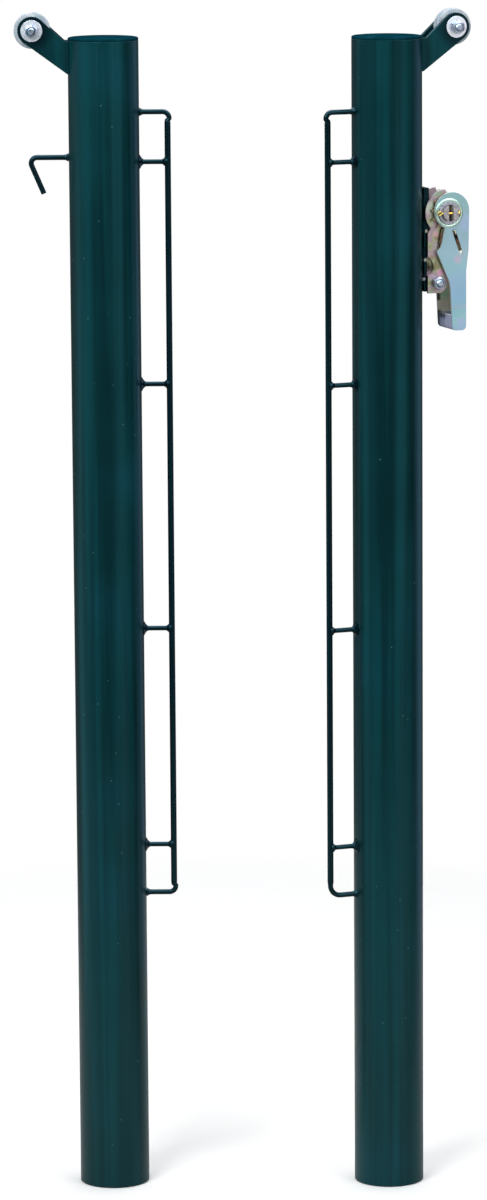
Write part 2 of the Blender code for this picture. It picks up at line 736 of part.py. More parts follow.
def make_frame(axis):
    """Two cheeks with cams that straddle the mounting bar, joined by a web on the bar's face."""
    frame = flat("ratchet_frame", [frame_outline()], 2 * FRAME_OUT, "yellow_zinc", axis, SIDE_VIEW)
    reach = 2 * FRAME_FOOT
    inside = box("frame_inside", (-reach, -FRAME_INSIDE, -reach), (reach, FRAME_INSIDE, reach), None, axis)
    boolean(frame, inside)
    joined = FRAME_INSIDE + FRAME_SHEET / 2
    web = box("frame_web", (WEB_BACK, -joined, -FRAME_FOOT + 1 * MM), (WEB_FACE, joined, WEB_TOP), None, axis)
    boolean(frame, web, "UNION")
    for side in (-1, 1):
        middle = side * (FRAME_INSIDE + 2 * FRAME_SHEET)
        place = shift(RECESS_OUT, middle, RECESS_UP) @ SIDE_VIEW
        recess_name = "frame_recess_" + ("near" if side < 0 else "far")
        boolean(frame, prism(recess_name, RECESS_R, 4 * FRAME_SHEET, None, axis, place, 40))
    spindle_hole = prism("frame_spindle_hole", SPINDLE_HOLE_R, 3 * FRAME_OUT, None, axis, SIDE_VIEW, 32)
    boolean(frame, spindle_hole)
    rear = shift(REAR_BOLT_OUT, 0, REAR_BOLT_UP) @ SIDE_VIEW
    boolean(frame, prism("frame_rear_hole", BOLT_R + SEAT, 3 * FRAME_OUT, None, axis, rear))
    slide = slide_frame(HOLD_ANGLE) @ shift(z=HOLD_OFFSET)
    half = PAWL_SHEET / 2 + SEAT
    slot = box(
        "frame_pawl_slot", (HOLD_NOSE - 2 * SEAT, -2 * FRAME_OUT, -half),
        (HOLD_SHOULDER + HOLD_TRAVEL + SEAT, 2 * FRAME_OUT, half), None, axis, slide,
    )
    boolean(frame, slot)
    rest = box(
        "frame_spring_rest", (HOLD_REST, -joined, -REST_HALF),
        (HOLD_REST + REST_THICKNESS, joined, REST_HALF), None, axis, slide,
    )
    boolean(frame, rest, "UNION")
    for number, up in enumerate(MOUNT_BOLT_UP):
        place = shift(WEB_BACK, 0, up) @ Matrix.Rotation(math.pi / 2, 4, "Y")
        boolean(frame, prism("web_hole_" + str(number), BOLT_R + SEAT, 5 * FRAME_SHEET, None, axis, place))
        bolt = shift(WEB_FACE + SEAT, 0, up) @ Matrix.Rotation(math.pi / 2, 4, "Y")
        name = "ratchet_mount_bolt_" + ("upper", "lower")[number]
        hex_bolt(name, MOUNT_BOLT_LENGTH, "bright_zinc", axis, bolt)


def make_rear_bolt(axis):
    """Bolt across the foot of the frame, with a spacer tube between the side plates."""
    place = shift(REAR_BOLT_OUT, 0, REAR_BOLT_UP) @ across(-1)
    seat = FRAME_OUT + SEAT
    hex_nut("ratchet_rear_nut", "bright_zinc", axis, place @ shift(z=seat))
    length = 2 * seat + NUT_HEIGHT + BOLT_PAST_NUT
    flip = Matrix.Rotation(math.pi, 4, "X")
    hex_bolt("ratchet_rear_bolt", length, "bright_zinc", axis, place @ shift(z=-seat) @ flip)
    half = FRAME_INSIDE - SEAT
    ring(
        "ratchet_rear_spacer", SPACER_R, BOLT_R + SEAT, half, -half, "bright_zinc", axis, place, SMALL_ROUND
    )


def half_moon(radius, flat_at, side, count=14):
    """D-shaped outline: the part of a circle beyond a flat, on the given side."""
    reach = math.acos(flat_at / radius)
    middle = 0 if side > 0 else math.pi
    return arc((0, 0), radius, middle - reach, middle + reach, count)


def wheel_outline():
    """Saw teeth: each rises along a steep radial face, has a short land, and slopes back to the root."""
    pitch = 2 * math.pi / TEETH
    points = []
    for tooth in range(TEETH):
        steep = HOLD_ANGLE + TOOTH_PHASE + tooth * pitch
        for radius, angle in ((ROOT_R, steep), (TIP_R, steep), (TIP_R, steep + TOOTH_LAND)):
            points.append((radius * math.cos(angle), radius * math.sin(angle)))
    return points


def make_spindle(post_axis):
    """Two half-moon bars with the cable's slot between them, and all that turns with them."""
    axis = empty("spindle_axis", Matrix(), post_axis)
    clear = RUN / 2
    holes = [half_moon(SPINDLE_R + clear, SPINDLE_SLOT / 2 - clear, side) for side in (1, -1)]
    for side, word in ((-1, "near"), (1, "far")):
        flat(
            "ratchet_wheel_" + word, [wheel_outline()] + holes, WHEEL_THICKNESS, "yellow_zinc", axis,
            shift(y=side * (WHEEL_IN + WHEEL_OUT) / 2) @ SIDE_VIEW,
        )
        ring(
            "spindle_washer_" + word, SPINDLE_WASHER_R, SPINDLE_HOLE_R, WASHER_OUT, WASHER_IN,
            "bright_zinc", axis, across(side), 32,
        )
        make_cotter(axis, word, side)
    for side, word in ((1, "outer"), (-1, "inner")):
        outline = half_moon(SPINDLE_R, SPINDLE_SLOT / 2, side)
        moon = flat("spindle_bar_" + word, [outline], 2 * SPINDLE_HALF, "yellow_zinc", axis, SIDE_VIEW)
        for end in (-1, 1):
            place = shift(y=end * COTTER_AT) @ Matrix.Rotation(math.pi / 2, 4, "Y")
            hole_name = "cotter_hole_" + word + ("_near" if end < 0 else "_far")
            boolean(moon, prism(hole_name, COTTER_R + SEAT, 3 * SPINDLE_R, None, axis, place, 16))


def make_cotter(axis, word, side):
    """Split pin through both bars: an eye at the inner end and two spread legs at the outer end."""
    at = side * COTTER_AT
    eye_r = 1.6 * COTTER_R
    start = -SPINDLE_WASHER_R + eye_r
    pin = bar("spindle_cotter_" + word, [(start, at, 0), (SPINDLE_R + 2 * MM, at, 0)], COTTER_R,
              "yellow_zinc", axis, resolution=2)
    loop = [(start - eye_r + x, at, z) for x, z in arc((0, 0), eye_r, 0.3, 2 * math.pi - 0.3, 10)]
    eye = bar("cotter_eye_" + word, loop, COTTER_R * 0.62, None, axis, resolution=1)
    boolean(pin, eye, "UNION")
    for up in (-1, 1):
        reach = SPINDLE_R + 1 * MM
        leg_points = [(reach - 2 * MM, at, up * 0.3 * MM), (reach + 0.6 * MM, at, up * 0.5 * MM)]
        leg_points.append((reach + 2.2 * MM, at, up * 3.4 * MM))
        leg = bar("cotter_leg_" + word + ("_up" if up > 0 else "_down"), leg_points, COTTER_R * 0.6,
                  None, axis, resolution=1)
        boolean(pin, leg, "UNION")


def fold_edges(target, test):
    """Rounds the sheet's folds: edges of the outline's two faces whose middles pass the test."""
    bm = bmesh.new()
    bm.from_mesh(target.data)
    layer = bm.edges.layers.float.new("bevel_weight_edge")
    for edge in bm.edges:
        middle = (edge.verts[0].co + edge.verts[1].co) / 2
        if abs(edge.verts[0].co.z - edge.verts[1].co.z) < 0.00001 and test(middle):
            edge[layer] = 1
    bm.to_mesh(target.data)
    bm.free()
    fold = target.modifiers.new("fold", "BEVEL")
    fold.limit_method = "WEIGHT"
    fold.width = FOLD_R
    fold.segments = 3


def handle_outline():
    """Side view of the handle: round head, a neck beside the pawl, a shoulder, and a narrower grip."""
    head_end = arc(HEAD_CENTRE, HEAD_R, 0, HEAD_END_ANGLE, 1)[1]
    head_right = (HEAD_CENTRE[0] + HEAD_R, HEAD_CENTRE[1])
    corners = [
        head_end,
        HANDLE_NECK,
        HANDLE_SHOULDER,
        HANDLE_WAIST,
        (HANDLE_INNER, -HANDLE_LENGTH),
        (HANDLE_OUTER, -HANDLE_LENGTH),
        (HANDLE_OUTER, HANDLE_BACK_UP),
        HANDLE_HIP,
        head_right,
    ]
    radii = [
        0, 3 * MM, 1.5 * MM, HANDLE_WAIST_R, HANDLE_CORNER_R, HANDLE_CORNER_R, HANDLE_BACK_R, HANDLE_HIP_R, 0,
    ]
    return rounded(corners, radii) + arc(HEAD_CENTRE, HEAD_R, 0, HEAD_END_ANGLE, 22)[1:-1]


def handle_inside():
    """What is open between the handle's side plates: all but the back web and the grip's tray."""
    back = HANDLE_OUTER - HANDLE_SHEET
    reach = 2 * HEAD_R
    tray = HANDLE_INNER + HANDLE_SHEET
    floor = HANDLE_SHEET - HANDLE_LENGTH
    rim = GRIP_HEIGHT - HANDLE_LENGTH
    return [
        (-reach, reach), (-reach, rim), (tray, rim), (tray, floor), (back, floor),
        (back, BACK_TOP), (reach, BACK_TOP), (reach, reach),
    ]


def long_hole(x0, y0, x1, y1, radius):
    """Slot outline between two end centres."""
    angle = math.atan2(y1 - y0, x1 - x0)
    right = math.pi / 2
    return arc((x0, y0), radius, angle + right, angle + 3 * right, 6) + arc(
        (x1, y1), radius, angle - right, angle + right, 6
    )


def make_handle(post_axis):
    """Bent sheet: two side plates on the spindle, a back web and a folded grip."""
    axis = empty("handle_axis", Matrix(), post_axis)
    handle = flat("ratchet_handle", [handle_outline()], 2 * HANDLE_OUT, "blue_zinc", axis, SIDE_VIEW)
    grip_top = GRIP_HEIGHT - HANDLE_LENGTH
    fold_edges(
        handle,
        lambda m: (m.x > HANDLE_OUTER - 1 * MM and m.y < BACK_TOP) or m.y < grip_top,
    )
    boolean(handle, flat("handle_inside", [handle_inside()], 2 * HANDLE_IN, None, axis, SIDE_VIEW))
    boolean(handle, prism("handle_spindle_hole", SPINDLE_HOLE_R, 3 * HANDLE_OUT, None, axis, SIDE_VIEW, 32))
    slot_r = PAWL_SHEET / 2 + SEAT
    start = slide_point(DRIVE_ANGLE, DRIVE_SLOT_START + slot_r, DRIVE_OFFSET)
    end = slide_point(DRIVE_ANGLE, DRIVE_REST - SEAT - slot_r, DRIVE_OFFSET)
    pawl_slot = flat("handle_pawl_slot", [long_hole(*start, *end, slot_r)], 3 * HANDLE_OUT, None, axis, SIDE_VIEW)
    boolean(handle, pawl_slot)
    slide = slide_frame(DRIVE_ANGLE) @ shift(z=DRIVE_OFFSET)
    rest = box(
        "handle_spring_rest", (DRIVE_REST, -HANDLE_IN - HANDLE_SHEET / 2, -REST_HALF),
        (DRIVE_REST + REST_THICKNESS, HANDLE_IN + HANDLE_SHEET / 2, REST_HALF), None, axis, slide,
    )
    boolean(handle, rest, "UNION")
    gap = 2 * SEAT
    eye = box(
        "handle_tongue_eye", (DRIVE_REST - 1 * MM, -TONGUE_HALF - gap, -PAWL_SHEET / 2 - gap),
        (DRIVE_REST + 2 * REST_THICKNESS, TONGUE_HALF + gap, PAWL_SHEET / 2 + gap), None, axis, slide,
    )
    boolean(handle, eye)
    return axis


def make_drive_pawl(handle_axis):
    """Plate that slides in the handle's slots, with a tongue through the spring and a finger pull."""
    slide = empty("drive_pawl_slide", slide_frame(DRIVE_ANGLE) @ shift(z=DRIVE_OFFSET), handle_axis)
    inside = HANDLE_IN - SEAT
    ear = HANDLE_OUT + EAR_PROUD
    half = [
        (DRIVE_NOSE, inside), (DRIVE_EAR[0], inside), (DRIVE_EAR[0], ear), (DRIVE_EAR[1], ear),
        (DRIVE_EAR[1], HORN_HALF), (DRIVE_SHOULDER, HORN_HALF), (DRIVE_SHOULDER, TONGUE_HALF),
        (DRIVE_TONGUE, TONGUE_HALF),
    ]
    outline = half + [(x, -y) for x, y in reversed(half)]
    pawl = flat("drive_pawl", [outline], PAWL_SHEET, "yellow_zinc", slide, Matrix())
    pull = box(
        "drive_pawl_pull", (DRIVE_TONGUE - 0.5 * MM, -PULL_HALF, -PAWL_SHEET / 2),
        (DRIVE_TONGUE + PULL_LENGTH, PULL_HALF, PULL_HEIGHT), None, slide,
    )
    boolean(pawl, pull, "UNION")


def make_holding_pawl(post_axis):
    """Plate that slides in the frame's slots, its bevelled nose in a tooth gap of both wheels."""
    slide = empty("holding_pawl_slide", slide_frame(HOLD_ANGLE) @ shift(z=HOLD_OFFSET), post_axis)
    half = PAWL_SHEET / 2
    side = [
        (HOLD_NOSE, half), (HOLD_NOSE + HOLD_BEVEL, -half), (HOLD_SHOULDER, -half), (HOLD_SHOULDER, half),
    ]
    width = WHEEL_OUT - SEAT
    pawl = flat("holding_pawl", [side], 2 * width, "yellow_zinc", slide, SIDE_VIEW)
    recess = FRAME_INSIDE - 2 * SEAT
    boolean(pawl, box("pawl_recess", (0, -recess, -2 * half), (HOLD_RECESS, recess, 2 * half), None, slide))
    tongue = box(
        "holding_pawl_tongue", (HOLD_SHOULDER - 1 * MM, -TONGUE_HALF, -half),
        (HOLD_TONGUE, TONGUE_HALF, half), None, slide,
    )
    boolean(pawl, tongue, "UNION")
    return slide


def make_spring(name, start, end, turns, parent, matrix):
    """Open coil along +X. Prints its least gap, measured between points over half a turn apart."""
    low = start + SEAT + SPRING_WIRE_R
    high = end - SEAT - SPRING_WIRE_R
    count = turns * POINTS_PER_TURN
    points = []
    for i in range(count + 1):
        angle = 2 * math.pi * i / POINTS_PER_TURN
        points.append(
            Vector((low + (high - low) * i / count, SPRING_R * math.cos(angle), SPRING_R * math.sin(angle)))
        )
    apart = POINTS_PER_TURN // 2 + 1
    least = min(
        (points[j] - points[i]).length for i in range(count + 1) for j in range(i + apart, count + 1)
    )
    print(name, "least gap", round((least - 2 * SPRING_WIRE_R) / MM, 2), "mm")
    bar(name, points, SPRING_WIRE_R, "spring_steel", parent, matrix, resolution=1)


def centre_on_floor(set_frame):
    """Moves the set so that the middle of its whole width and depth is over the origin."""
    bpy.context.view_layer.update()
    graph = bpy.context.evaluated_depsgraph_get()
    corners = []
    for found in PARTS.objects:
        if found.type == "MESH":
            solid = found.evaluated_get(graph)
            mesh = solid.to_mesh()
            corners += [solid.matrix_world @ vertex.co for vertex in mesh.vertices]
            solid.to_mesh_clear()
    middle = [(min(c[k] for c in corners) + max(c[k] for c in corners)) / 2 for k in (0, 1)]
    set_frame.matrix_local = shift(-middle[0], -middle[1], 0)
    print("set frame moved by", [round(-m / MM, 3) for m in middle], "mm")


def main():
    set_frame = empty("set_frame", Matrix())
    usual = (CORNER_R, CORNER_BULGE)
    clean = (1.6 * CORNER_R, 0.0)
    half = POST_SPACING / 2
    outwards = shift(x=-half) @ Matrix.Rotation(math.pi, 4, "Z")
    hook_post, _, hook_cut = make_post("hook_post_", outwards, 1, (usual, usual), set_frame)
    make_hook(hook_post, "hook_post_", hook_cut)
    turned_place = shift(x=half) @ Matrix.Rotation(RATCHET_POST_TURN, 4, "Z")
    post, tube, cutter = make_post("ratchet_post_", turned_place, -1, (usual, clean), set_frame)
    make_mounting_bar(post, tube, cutter)
    axis = empty("ratchet_axis", shift(SPINDLE_OUT, 0, SPINDLE_Z), post)
    make_frame(axis)
    make_rear_bolt(axis)
    make_spindle(axis)
    handle_axis = make_handle(axis)
    make_drive_pawl(handle_axis)
    drive_line = slide_frame(DRIVE_ANGLE) @ shift(z=DRIVE_OFFSET)
    make_spring("drive_pawl_spring", DRIVE_SHOULDER, DRIVE_REST, DRIVE_TURNS, handle_axis, drive_line)
    make_holding_pawl(axis)
    hold_line = slide_frame(HOLD_ANGLE) @ shift(z=HOLD_OFFSET)
    make_spring("holding_pawl_spring", HOLD_SHOULDER, HOLD_REST, HOLD_TURNS, axis, hold_line)
    centre_on_floor(set_frame)


main()
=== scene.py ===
import json
import math

import bpy
from mathutils import Matrix, Vector


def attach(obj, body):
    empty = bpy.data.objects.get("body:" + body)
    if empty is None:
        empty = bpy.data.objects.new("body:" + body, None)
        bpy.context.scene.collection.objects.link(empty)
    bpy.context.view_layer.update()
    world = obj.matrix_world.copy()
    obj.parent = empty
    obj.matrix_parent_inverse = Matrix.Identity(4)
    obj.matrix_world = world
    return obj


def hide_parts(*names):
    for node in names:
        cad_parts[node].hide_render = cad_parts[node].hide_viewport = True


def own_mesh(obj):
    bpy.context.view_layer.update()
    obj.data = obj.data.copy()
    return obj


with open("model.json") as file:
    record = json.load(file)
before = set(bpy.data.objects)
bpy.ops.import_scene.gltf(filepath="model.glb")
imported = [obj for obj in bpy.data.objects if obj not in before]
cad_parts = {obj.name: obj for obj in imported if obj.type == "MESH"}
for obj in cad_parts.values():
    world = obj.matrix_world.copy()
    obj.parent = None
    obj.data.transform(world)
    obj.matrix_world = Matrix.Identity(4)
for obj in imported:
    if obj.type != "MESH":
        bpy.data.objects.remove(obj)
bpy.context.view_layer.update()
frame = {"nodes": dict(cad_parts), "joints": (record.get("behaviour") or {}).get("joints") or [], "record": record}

MM = 0.001
NODES = frame["nodes"]
JOINTS = {joint["name"]: joint for joint in frame["joints"]}


def mm_shift(x=0.0, y=0.0, z=0.0):
    return Matrix.Translation(Vector((x, y, z)) * MM)


def axes(x, y, z, origin):
    place = Matrix((x, y, z)).transposed().to_4x4()
    place.translation = origin
    return place


def on_axis(joint, side=1):
    """A turning joint's place: Y along its axis, to the side given, and Z up the post."""
    along = Vector(JOINTS[joint]["axis"]).normalized() * side
    upright = Vector((0, 0, 1))
    return axes(along.cross(upright), along, upright, JOINTS[joint]["pos_m"])


HOOK_PULLEY = on_axis("hook_pulley_spin")
RATCHET_PULLEY = on_axis("ratchet_pulley_spin")
SPINDLE = on_axis("spindle_spin", -1)
SPINDLE_HEIGHT = SPINDLE.translation.z


def on_slide(joint, off):
    """A pawl's line: X along its slide from the spindle's axis, and the line off that axis by so many mm."""
    along = Vector(JOINTS[joint]["axis"]).normalized()
    wide = SPINDLE.to_3x3() @ Vector((0, 1, 0))
    return axes(along, wide, along.cross(wide), SPINDLE.translation) @ mm_shift(z=off)


def middle_of(name, place=Matrix()):
    """The middle of a CAD node, along the axes of a place."""
    found = [place.inverted() @ corner.co for corner in NODES[name].data.vertices]
    return Vector([(min(spot[i] for spot in found) + max(spot[i] for spot in found)) / 2 for i in range(3)])


# The photograph's camera, in mm from the middle between the posts' feet, and its turns in degrees. Its focal
# length is in the photograph's pixels
CAMERA_PLACE = (42, -6197, 1740)
CAMERA_YAW, CAMERA_PITCH, CAMERA_ROLL = -0.44, 9.66, -0.38
FOCAL_LENGTH = 5479
PHOTO_HEIGHT = 1200
SENSOR_HEIGHT = 24

# The inner and outer face of the handle's side plates, from the ratchet's middle
PLATE_INSIDE, PLATE_OUTSIDE = 19.8, 21.6
# Where the nuts and bolt heads sit, from the middle of the pulley and of the ratchet
PULLEY_SEAT = 14
FRAME_SEAT = 16.3
PULLEY_BOLT_LENGTH = 37
REAR_BOLT_LENGTH = 41.6
# How far each pawl's line passes from the spindle's axis
DRIVE_LINE, HOLDING_LINE = -1.1, -2.8
# Standard M8 hardware
ACROSS_FLATS = 13
HEAD_HEIGHT, NUT_HEIGHT = 5.3, 6.8
THREAD_LENGTH, THREAD_PITCH = 14, 1.25
# How bright the floor and the surround are for the light that falls on the posts
SEEN_BY_POSTS = 0.42

PAINT = ["042B2F", "053034", "07343D"]
THIN_ROD_PAINT = ["010A10", "020D13", "03131A"]
# Near black, for the mounting bar: painted shade, as the bar lies in shade between tube and frame
GAP_PAINTED_SHADE = ["020C10", "03141A", "041A20"]
PAWL_FILM = ["4E4436", "7B5648", "5A6048", "8A6A54"]

# The handle's film outside, between two heights from the spindle
FILM_FROM, FILM_TO = -128.4, 31.6
HANDLE_FILM = [(0.03, "A0BEDA"), (0.1, "9ACCCC"), (0.18, "8EC0CE"), (0.28, "96BCE0"), (0.37, "98BCD8"),
               (0.48, "98C4CA"), (0.62, "9ABCC6"), (0.8, "8EB4B6"), (1.0, "8AB8B2")]
# The height of the grip's foot from the spindle
GRIP_FOOT = -117.2

# Painted shade round the arms' ends: a darker ring on the paint round each pulley, measured from the pulley
ARM_FACE = 11.9
ARM_END_PAINTED_SHADE = [((0, side * ARM_FACE, 0), radius, "01070E", amount)
                 for side in (-1, 1) for radius, amount in ((26, 1.0), (22, 0.8))]
# Every mark below is measured from the spindle. First painted highlights on the near side of the mounting bar:
# pale spots where its weld beads catch light
BAR_SIDE = -13
WELD_BEAD_HIGHLIGHTS = [((-24.4, BAR_SIDE, -20.5), 2.4, "D2D0BC", 0.9), ((-25.8, BAR_SIDE, -53), 2.6, "D6D8CC", 0.9),
                ((-29.6, BAR_SIDE, -62), 2.6, "CDD2EA", 0.9), ((-28, BAR_SIDE, -74.7), 2.6, "CCD6E8", 0.9)]
# Marks on the frame's near cheek: painted shade in the recess at its back edge, then olive, pink and pale patches
CHEEK = -16
FRAME_SHADE_AND_PATCHES = [((-21.5, CHEEK, -62), 7.5, "28280F", 0.95), ((-19, CHEEK, -50), 3.8, "8C8A5A", 0.7),
                ((-9, CHEEK, -68), 5, "E0A0BC", 0.7), ((-14, CHEEK, -24), 5, "DCA4B4", 0.6),
                ((-22, CHEEK, 6), 9, "C6CEBC", 0.7)]
# Film colours on the handle's near plate, and a row of lilac-grey spots across the grip that paints the light and
# shade of a crease
NEAR_PLATE = -PLATE_OUTSIDE - 0.2
HANDLE_FILM_AND_CREASE_SHADE = [((10.5, NEAR_PLATE, -53), 6.5, "D2AEC8", 0.55), ((21, NEAR_PLATE, -12), 14, "B0BCE4", 0.5),
                 ((14, NEAR_PLATE, -124), 6, "B2BCE0", 0.6)]
HANDLE_FILM_AND_CREASE_SHADE += [((out, NEAR_PLATE, high), 3, "B6B6CC", 0.5)
                  for out, high in ((4, -107.6), (9, -107.8), (14, -107.6), (19, -107.4))]
# Inside the fold: a pale green patch of film, painted shade down its far corner and round the grip's foot, and a
# paler patch on the foot
FOLD_PATCHES_AND_SHADE = [((11, PLATE_INSIDE, -96), 10, "C4ECC8", 0.85)]
FOLD_PATCHES_AND_SHADE += [((out, PLATE_INSIDE, high), 3.4, "1C2016", 0.9)
                for out, high in ((3, -91), (3.4, -94.5), (3.8, -98), (4.2, -101.5))]
FOLD_PATCHES_AND_SHADE += [((3.9, wide, high), radius, "10141C", amount) for wide, high, radius, amount in (
    (18, -119, 6.5, 0.95), (10, -119.5, 5.5, 0.95), (2, -119.5, 5, 0.85), (18.5, -125, 6, 0.9),
    (18.5, -131, 5, 0.8))]
FOLD_PATCHES_AND_SHADE += [((3.9, -4, -127), 7, "C4CCE4", 0.7)]
# Painted shadow on the upper half of the drive pawl's ears
PAWL_PAINTED_SHADOW = [((8, side * 22.6, -26.5), 5.5, "0E100A", 0.95) for side in (-1, 1)]


def set_camera():
    """The photograph's view: from 6.2 m away, a little above the posts' tops."""
    yaw, pitch, roll = (math.radians(a) for a in (CAMERA_YAW, CAMERA_PITCH, CAMERA_ROLL))
    ahead = Vector((math.sin(yaw) * math.cos(pitch), math.cos(yaw) * math.cos(pitch), -math.sin(pitch)))
    right = Vector((math.cos(yaw), -math.sin(yaw), 0))
    up = right.cross(ahead)
    turned_right = math.cos(roll) * right + math.sin(roll) * up
    turned_up = math.cos(roll) * up - math.sin(roll) * right
    data = bpy.data.cameras.new("camera")
    data.sensor_fit = "VERTICAL"
    data.sensor_height = SENSOR_HEIGHT
    data.lens = FOCAL_LENGTH / PHOTO_HEIGHT * SENSOR_HEIGHT
    data.clip_start = 0.1
    data.clip_end = 100
    camera = bpy.data.objects.new("camera", data)
    bpy.context.scene.collection.objects.link(camera)
    middle = (middle_of("hook_post_tube") + middle_of("ratchet_post_tube")) / 2
    middle.z = 0
    camera.matrix_world = axes(turned_right, turned_up, -ahead, middle + Vector(CAMERA_PLACE) * MM)
    bpy.context.scene.camera = camera


def colour(text):
    """An sRGB hex colour as linear RGBA."""
    channels = [int(text[i:i + 2], 16) / 255 for i in (0, 2, 4)]
    return (*[c / 12.92 if c <= 0.04045 else ((c + 0.055) / 1.055) ** 2.4 for c in channels], 1)


def node(tree, kind, inputs=None, stops=None, **settings):
    """Adds a node. An input that is a socket is linked, and any other value is set."""
    made = tree.nodes.new(kind)
    for key, value in settings.items():
        setattr(made, key, value)
    for key, value in (inputs or {}).items():
        if isinstance(value, bpy.types.NodeSocket):
            tree.links.new(value, made.inputs[key])
        else:
            made.inputs[key].default_value = value
    if stops:
        ramp = made.color_ramp
        while len(ramp.elements) < len(stops):
            ramp.elements.new(1)
        for element, (place, value) in zip(ramp.elements, stops):
            element.position = place
            element.color = value
    return made


def grey(value):
    return (value, value, value, 1)


def spacing(size):
    """The Scale of a pattern whose features are this many mm apart."""
    return 1 / (size * MM)


def start(name, **values):
    """A new Principled material with its plain values, and its Object coordinates."""
    made = bpy.data.materials.new(name)
    made.use_nodes = True
    tree = made.node_tree
    shader = tree.nodes["Principled BSDF"]
    for key, value in values.items():
        shader.inputs[key.replace("_", " ")].default_value = value
    place = node(tree, "ShaderNodeTexCoord").outputs["Object"]
    return made, tree, shader, place


def powder_coat(name, tones):
    """Polyester powder coat, gloss, baked on steel: deep teal, with a slight orange peel that breaks up the lamps'
    reflections, upright streaks from the spray, raised dust nibs that catch light and are drawn paler as painted
    highlights, and paler towards the foot."""
    made, tree, shader, place = start(name, Metallic=0.0, IOR=1.42)
    shader.inputs["Specular Tint"].default_value = colour("70C4D8")
    cloud = node(tree, "ShaderNodeTexNoise", {"Vector": place, "Scale": spacing(110), "Detail": 3})
    tone = node(tree, "ShaderNodeValToRGB", {"Fac": cloud.outputs["Fac"]},
                stops=[(at, colour(t)) for at, t in zip((0.3, 0.55, 0.75), tones)])
    # Streaks 12 mm apart and 600 mm long
    stretched = node(tree, "ShaderNodeMapping", {"Vector": place, "Scale": (1, 1, 0.02)})
    streak = node(tree, "ShaderNodeTexNoise", {"Vector": stretched.outputs["Vector"], "Scale": spacing(11.8),
                                               "Detail": 2})
    dark = node(tree, "ShaderNodeMapRange", {"Value": streak.outputs["Fac"], "From Min": 0.4,
                                             "From Max": 0.62, "To Min": 0.6, "To Max": 1.25})
    shaded = node(tree, "ShaderNodeVectorMath", {0: tone.outputs["Color"]}, operation="SCALE")
    tree.links.new(dark.outputs["Result"], shaded.inputs["Scale"])
    # Paler towards the foot: over the lowest 600 mm, most of it below 120 mm
    high = node(tree, "ShaderNodeSeparateXYZ", {"Vector": place})
    foot = node(tree, "ShaderNodeMapRange", {"Value": high.outputs["Z"], "From Min": 120 * MM,
                                             "From Max": 600 * MM, "To Min": 0.14, "To Max": 0})
    paler_foot = node(tree, "ShaderNodeMix", {"Factor": foot.outputs["Result"], "A": shaded.outputs["Vector"],
                                         "B": colour("3C6062")}, data_type="RGBA")
    # Nibs about 18 mm apart and up to 2 mm across, which is larger than dust, so that they show. Their paler
    # colour is a painted highlight
    nibs = node(tree, "ShaderNodeTexVoronoi", {"Vector": place, "Scale": spacing(18), "Randomness": 1})
    speck = node(tree, "ShaderNodeMapRange", {"Value": nibs.outputs["Distance"], "From Min": 0.035,
                                              "From Max": 0.06, "To Min": 0.35, "To Max": 0})
    dotted = node(tree, "ShaderNodeMix", {"Factor": speck.outputs["Result"], "A": paler_foot.outputs["Result"],
                                          "B": colour("5E8C90")}, data_type="RGBA")
    tree.links.new(dotted.outputs["Result"], shader.inputs["Base Color"])
    rough = node(tree, "ShaderNodeMapRange", {"Value": cloud.outputs["Fac"], "From Min": 0.3,
                                              "From Max": 0.7, "To Min": 0.24, "To Max": 0.34})
    tree.links.new(rough.outputs["Result"], shader.inputs["Roughness"])
    peel = node(tree, "ShaderNodeTexNoise", {"Vector": place, "Scale": spacing(2.4), "Detail": 2})
    bump = node(tree, "ShaderNodeBump", {"Height": peel.outputs["Fac"], "Strength": 0.25,
                                         "Distance": 0.12 * MM})
    lift = node(tree, "ShaderNodeBump", {"Height": speck.outputs["Result"], "Strength": 0.5,
                                         "Distance": 0.2 * MM, "Normal": bump.outputs["Normal"]})
    tree.links.new(lift.outputs["Normal"], shader.inputs["Normal"])
    return made


def moulded_polyethylene():
    """Moulded low-density polyethylene in the posts' dark teal: waxy and slightly grained, drawn coarser
    than it is, with scuffs that show paler."""
    made, tree, shader, place = start("moulded_polyethylene", Metallic=0.0, IOR=1.51, Specular_IOR_Level=0.0)
    grain = node(tree, "ShaderNodeTexNoise", {"Vector": place, "Scale": spacing(1.4), "Detail": 3})
    scuff = node(tree, "ShaderNodeTexNoise", {"Vector": place, "Scale": spacing(17), "Detail": 6,
                                              "Roughness": 0.7})
    tone = node(tree, "ShaderNodeValToRGB", {"Fac": scuff.outputs["Fac"]},
                stops=[(0.45, colour("052C36")), (0.62, colour("083440")), (0.7, colour("123E4A"))])
    tree.links.new(tone.outputs["Color"], shader.inputs["Base Color"])
    rough = node(tree, "ShaderNodeMapRange", {"Value": scuff.outputs["Fac"], "To Min": 0.3, "To Max": 0.45})
    tree.links.new(rough.outputs["Result"], shader.inputs["Roughness"])
    bump = node(tree, "ShaderNodeBump", {"Height": grain.outputs["Fac"], "Strength": 0.3,
                                         "Distance": 0.1 * MM})
    tree.links.new(bump.outputs["Normal"], shader.inputs["Normal"])
    return made


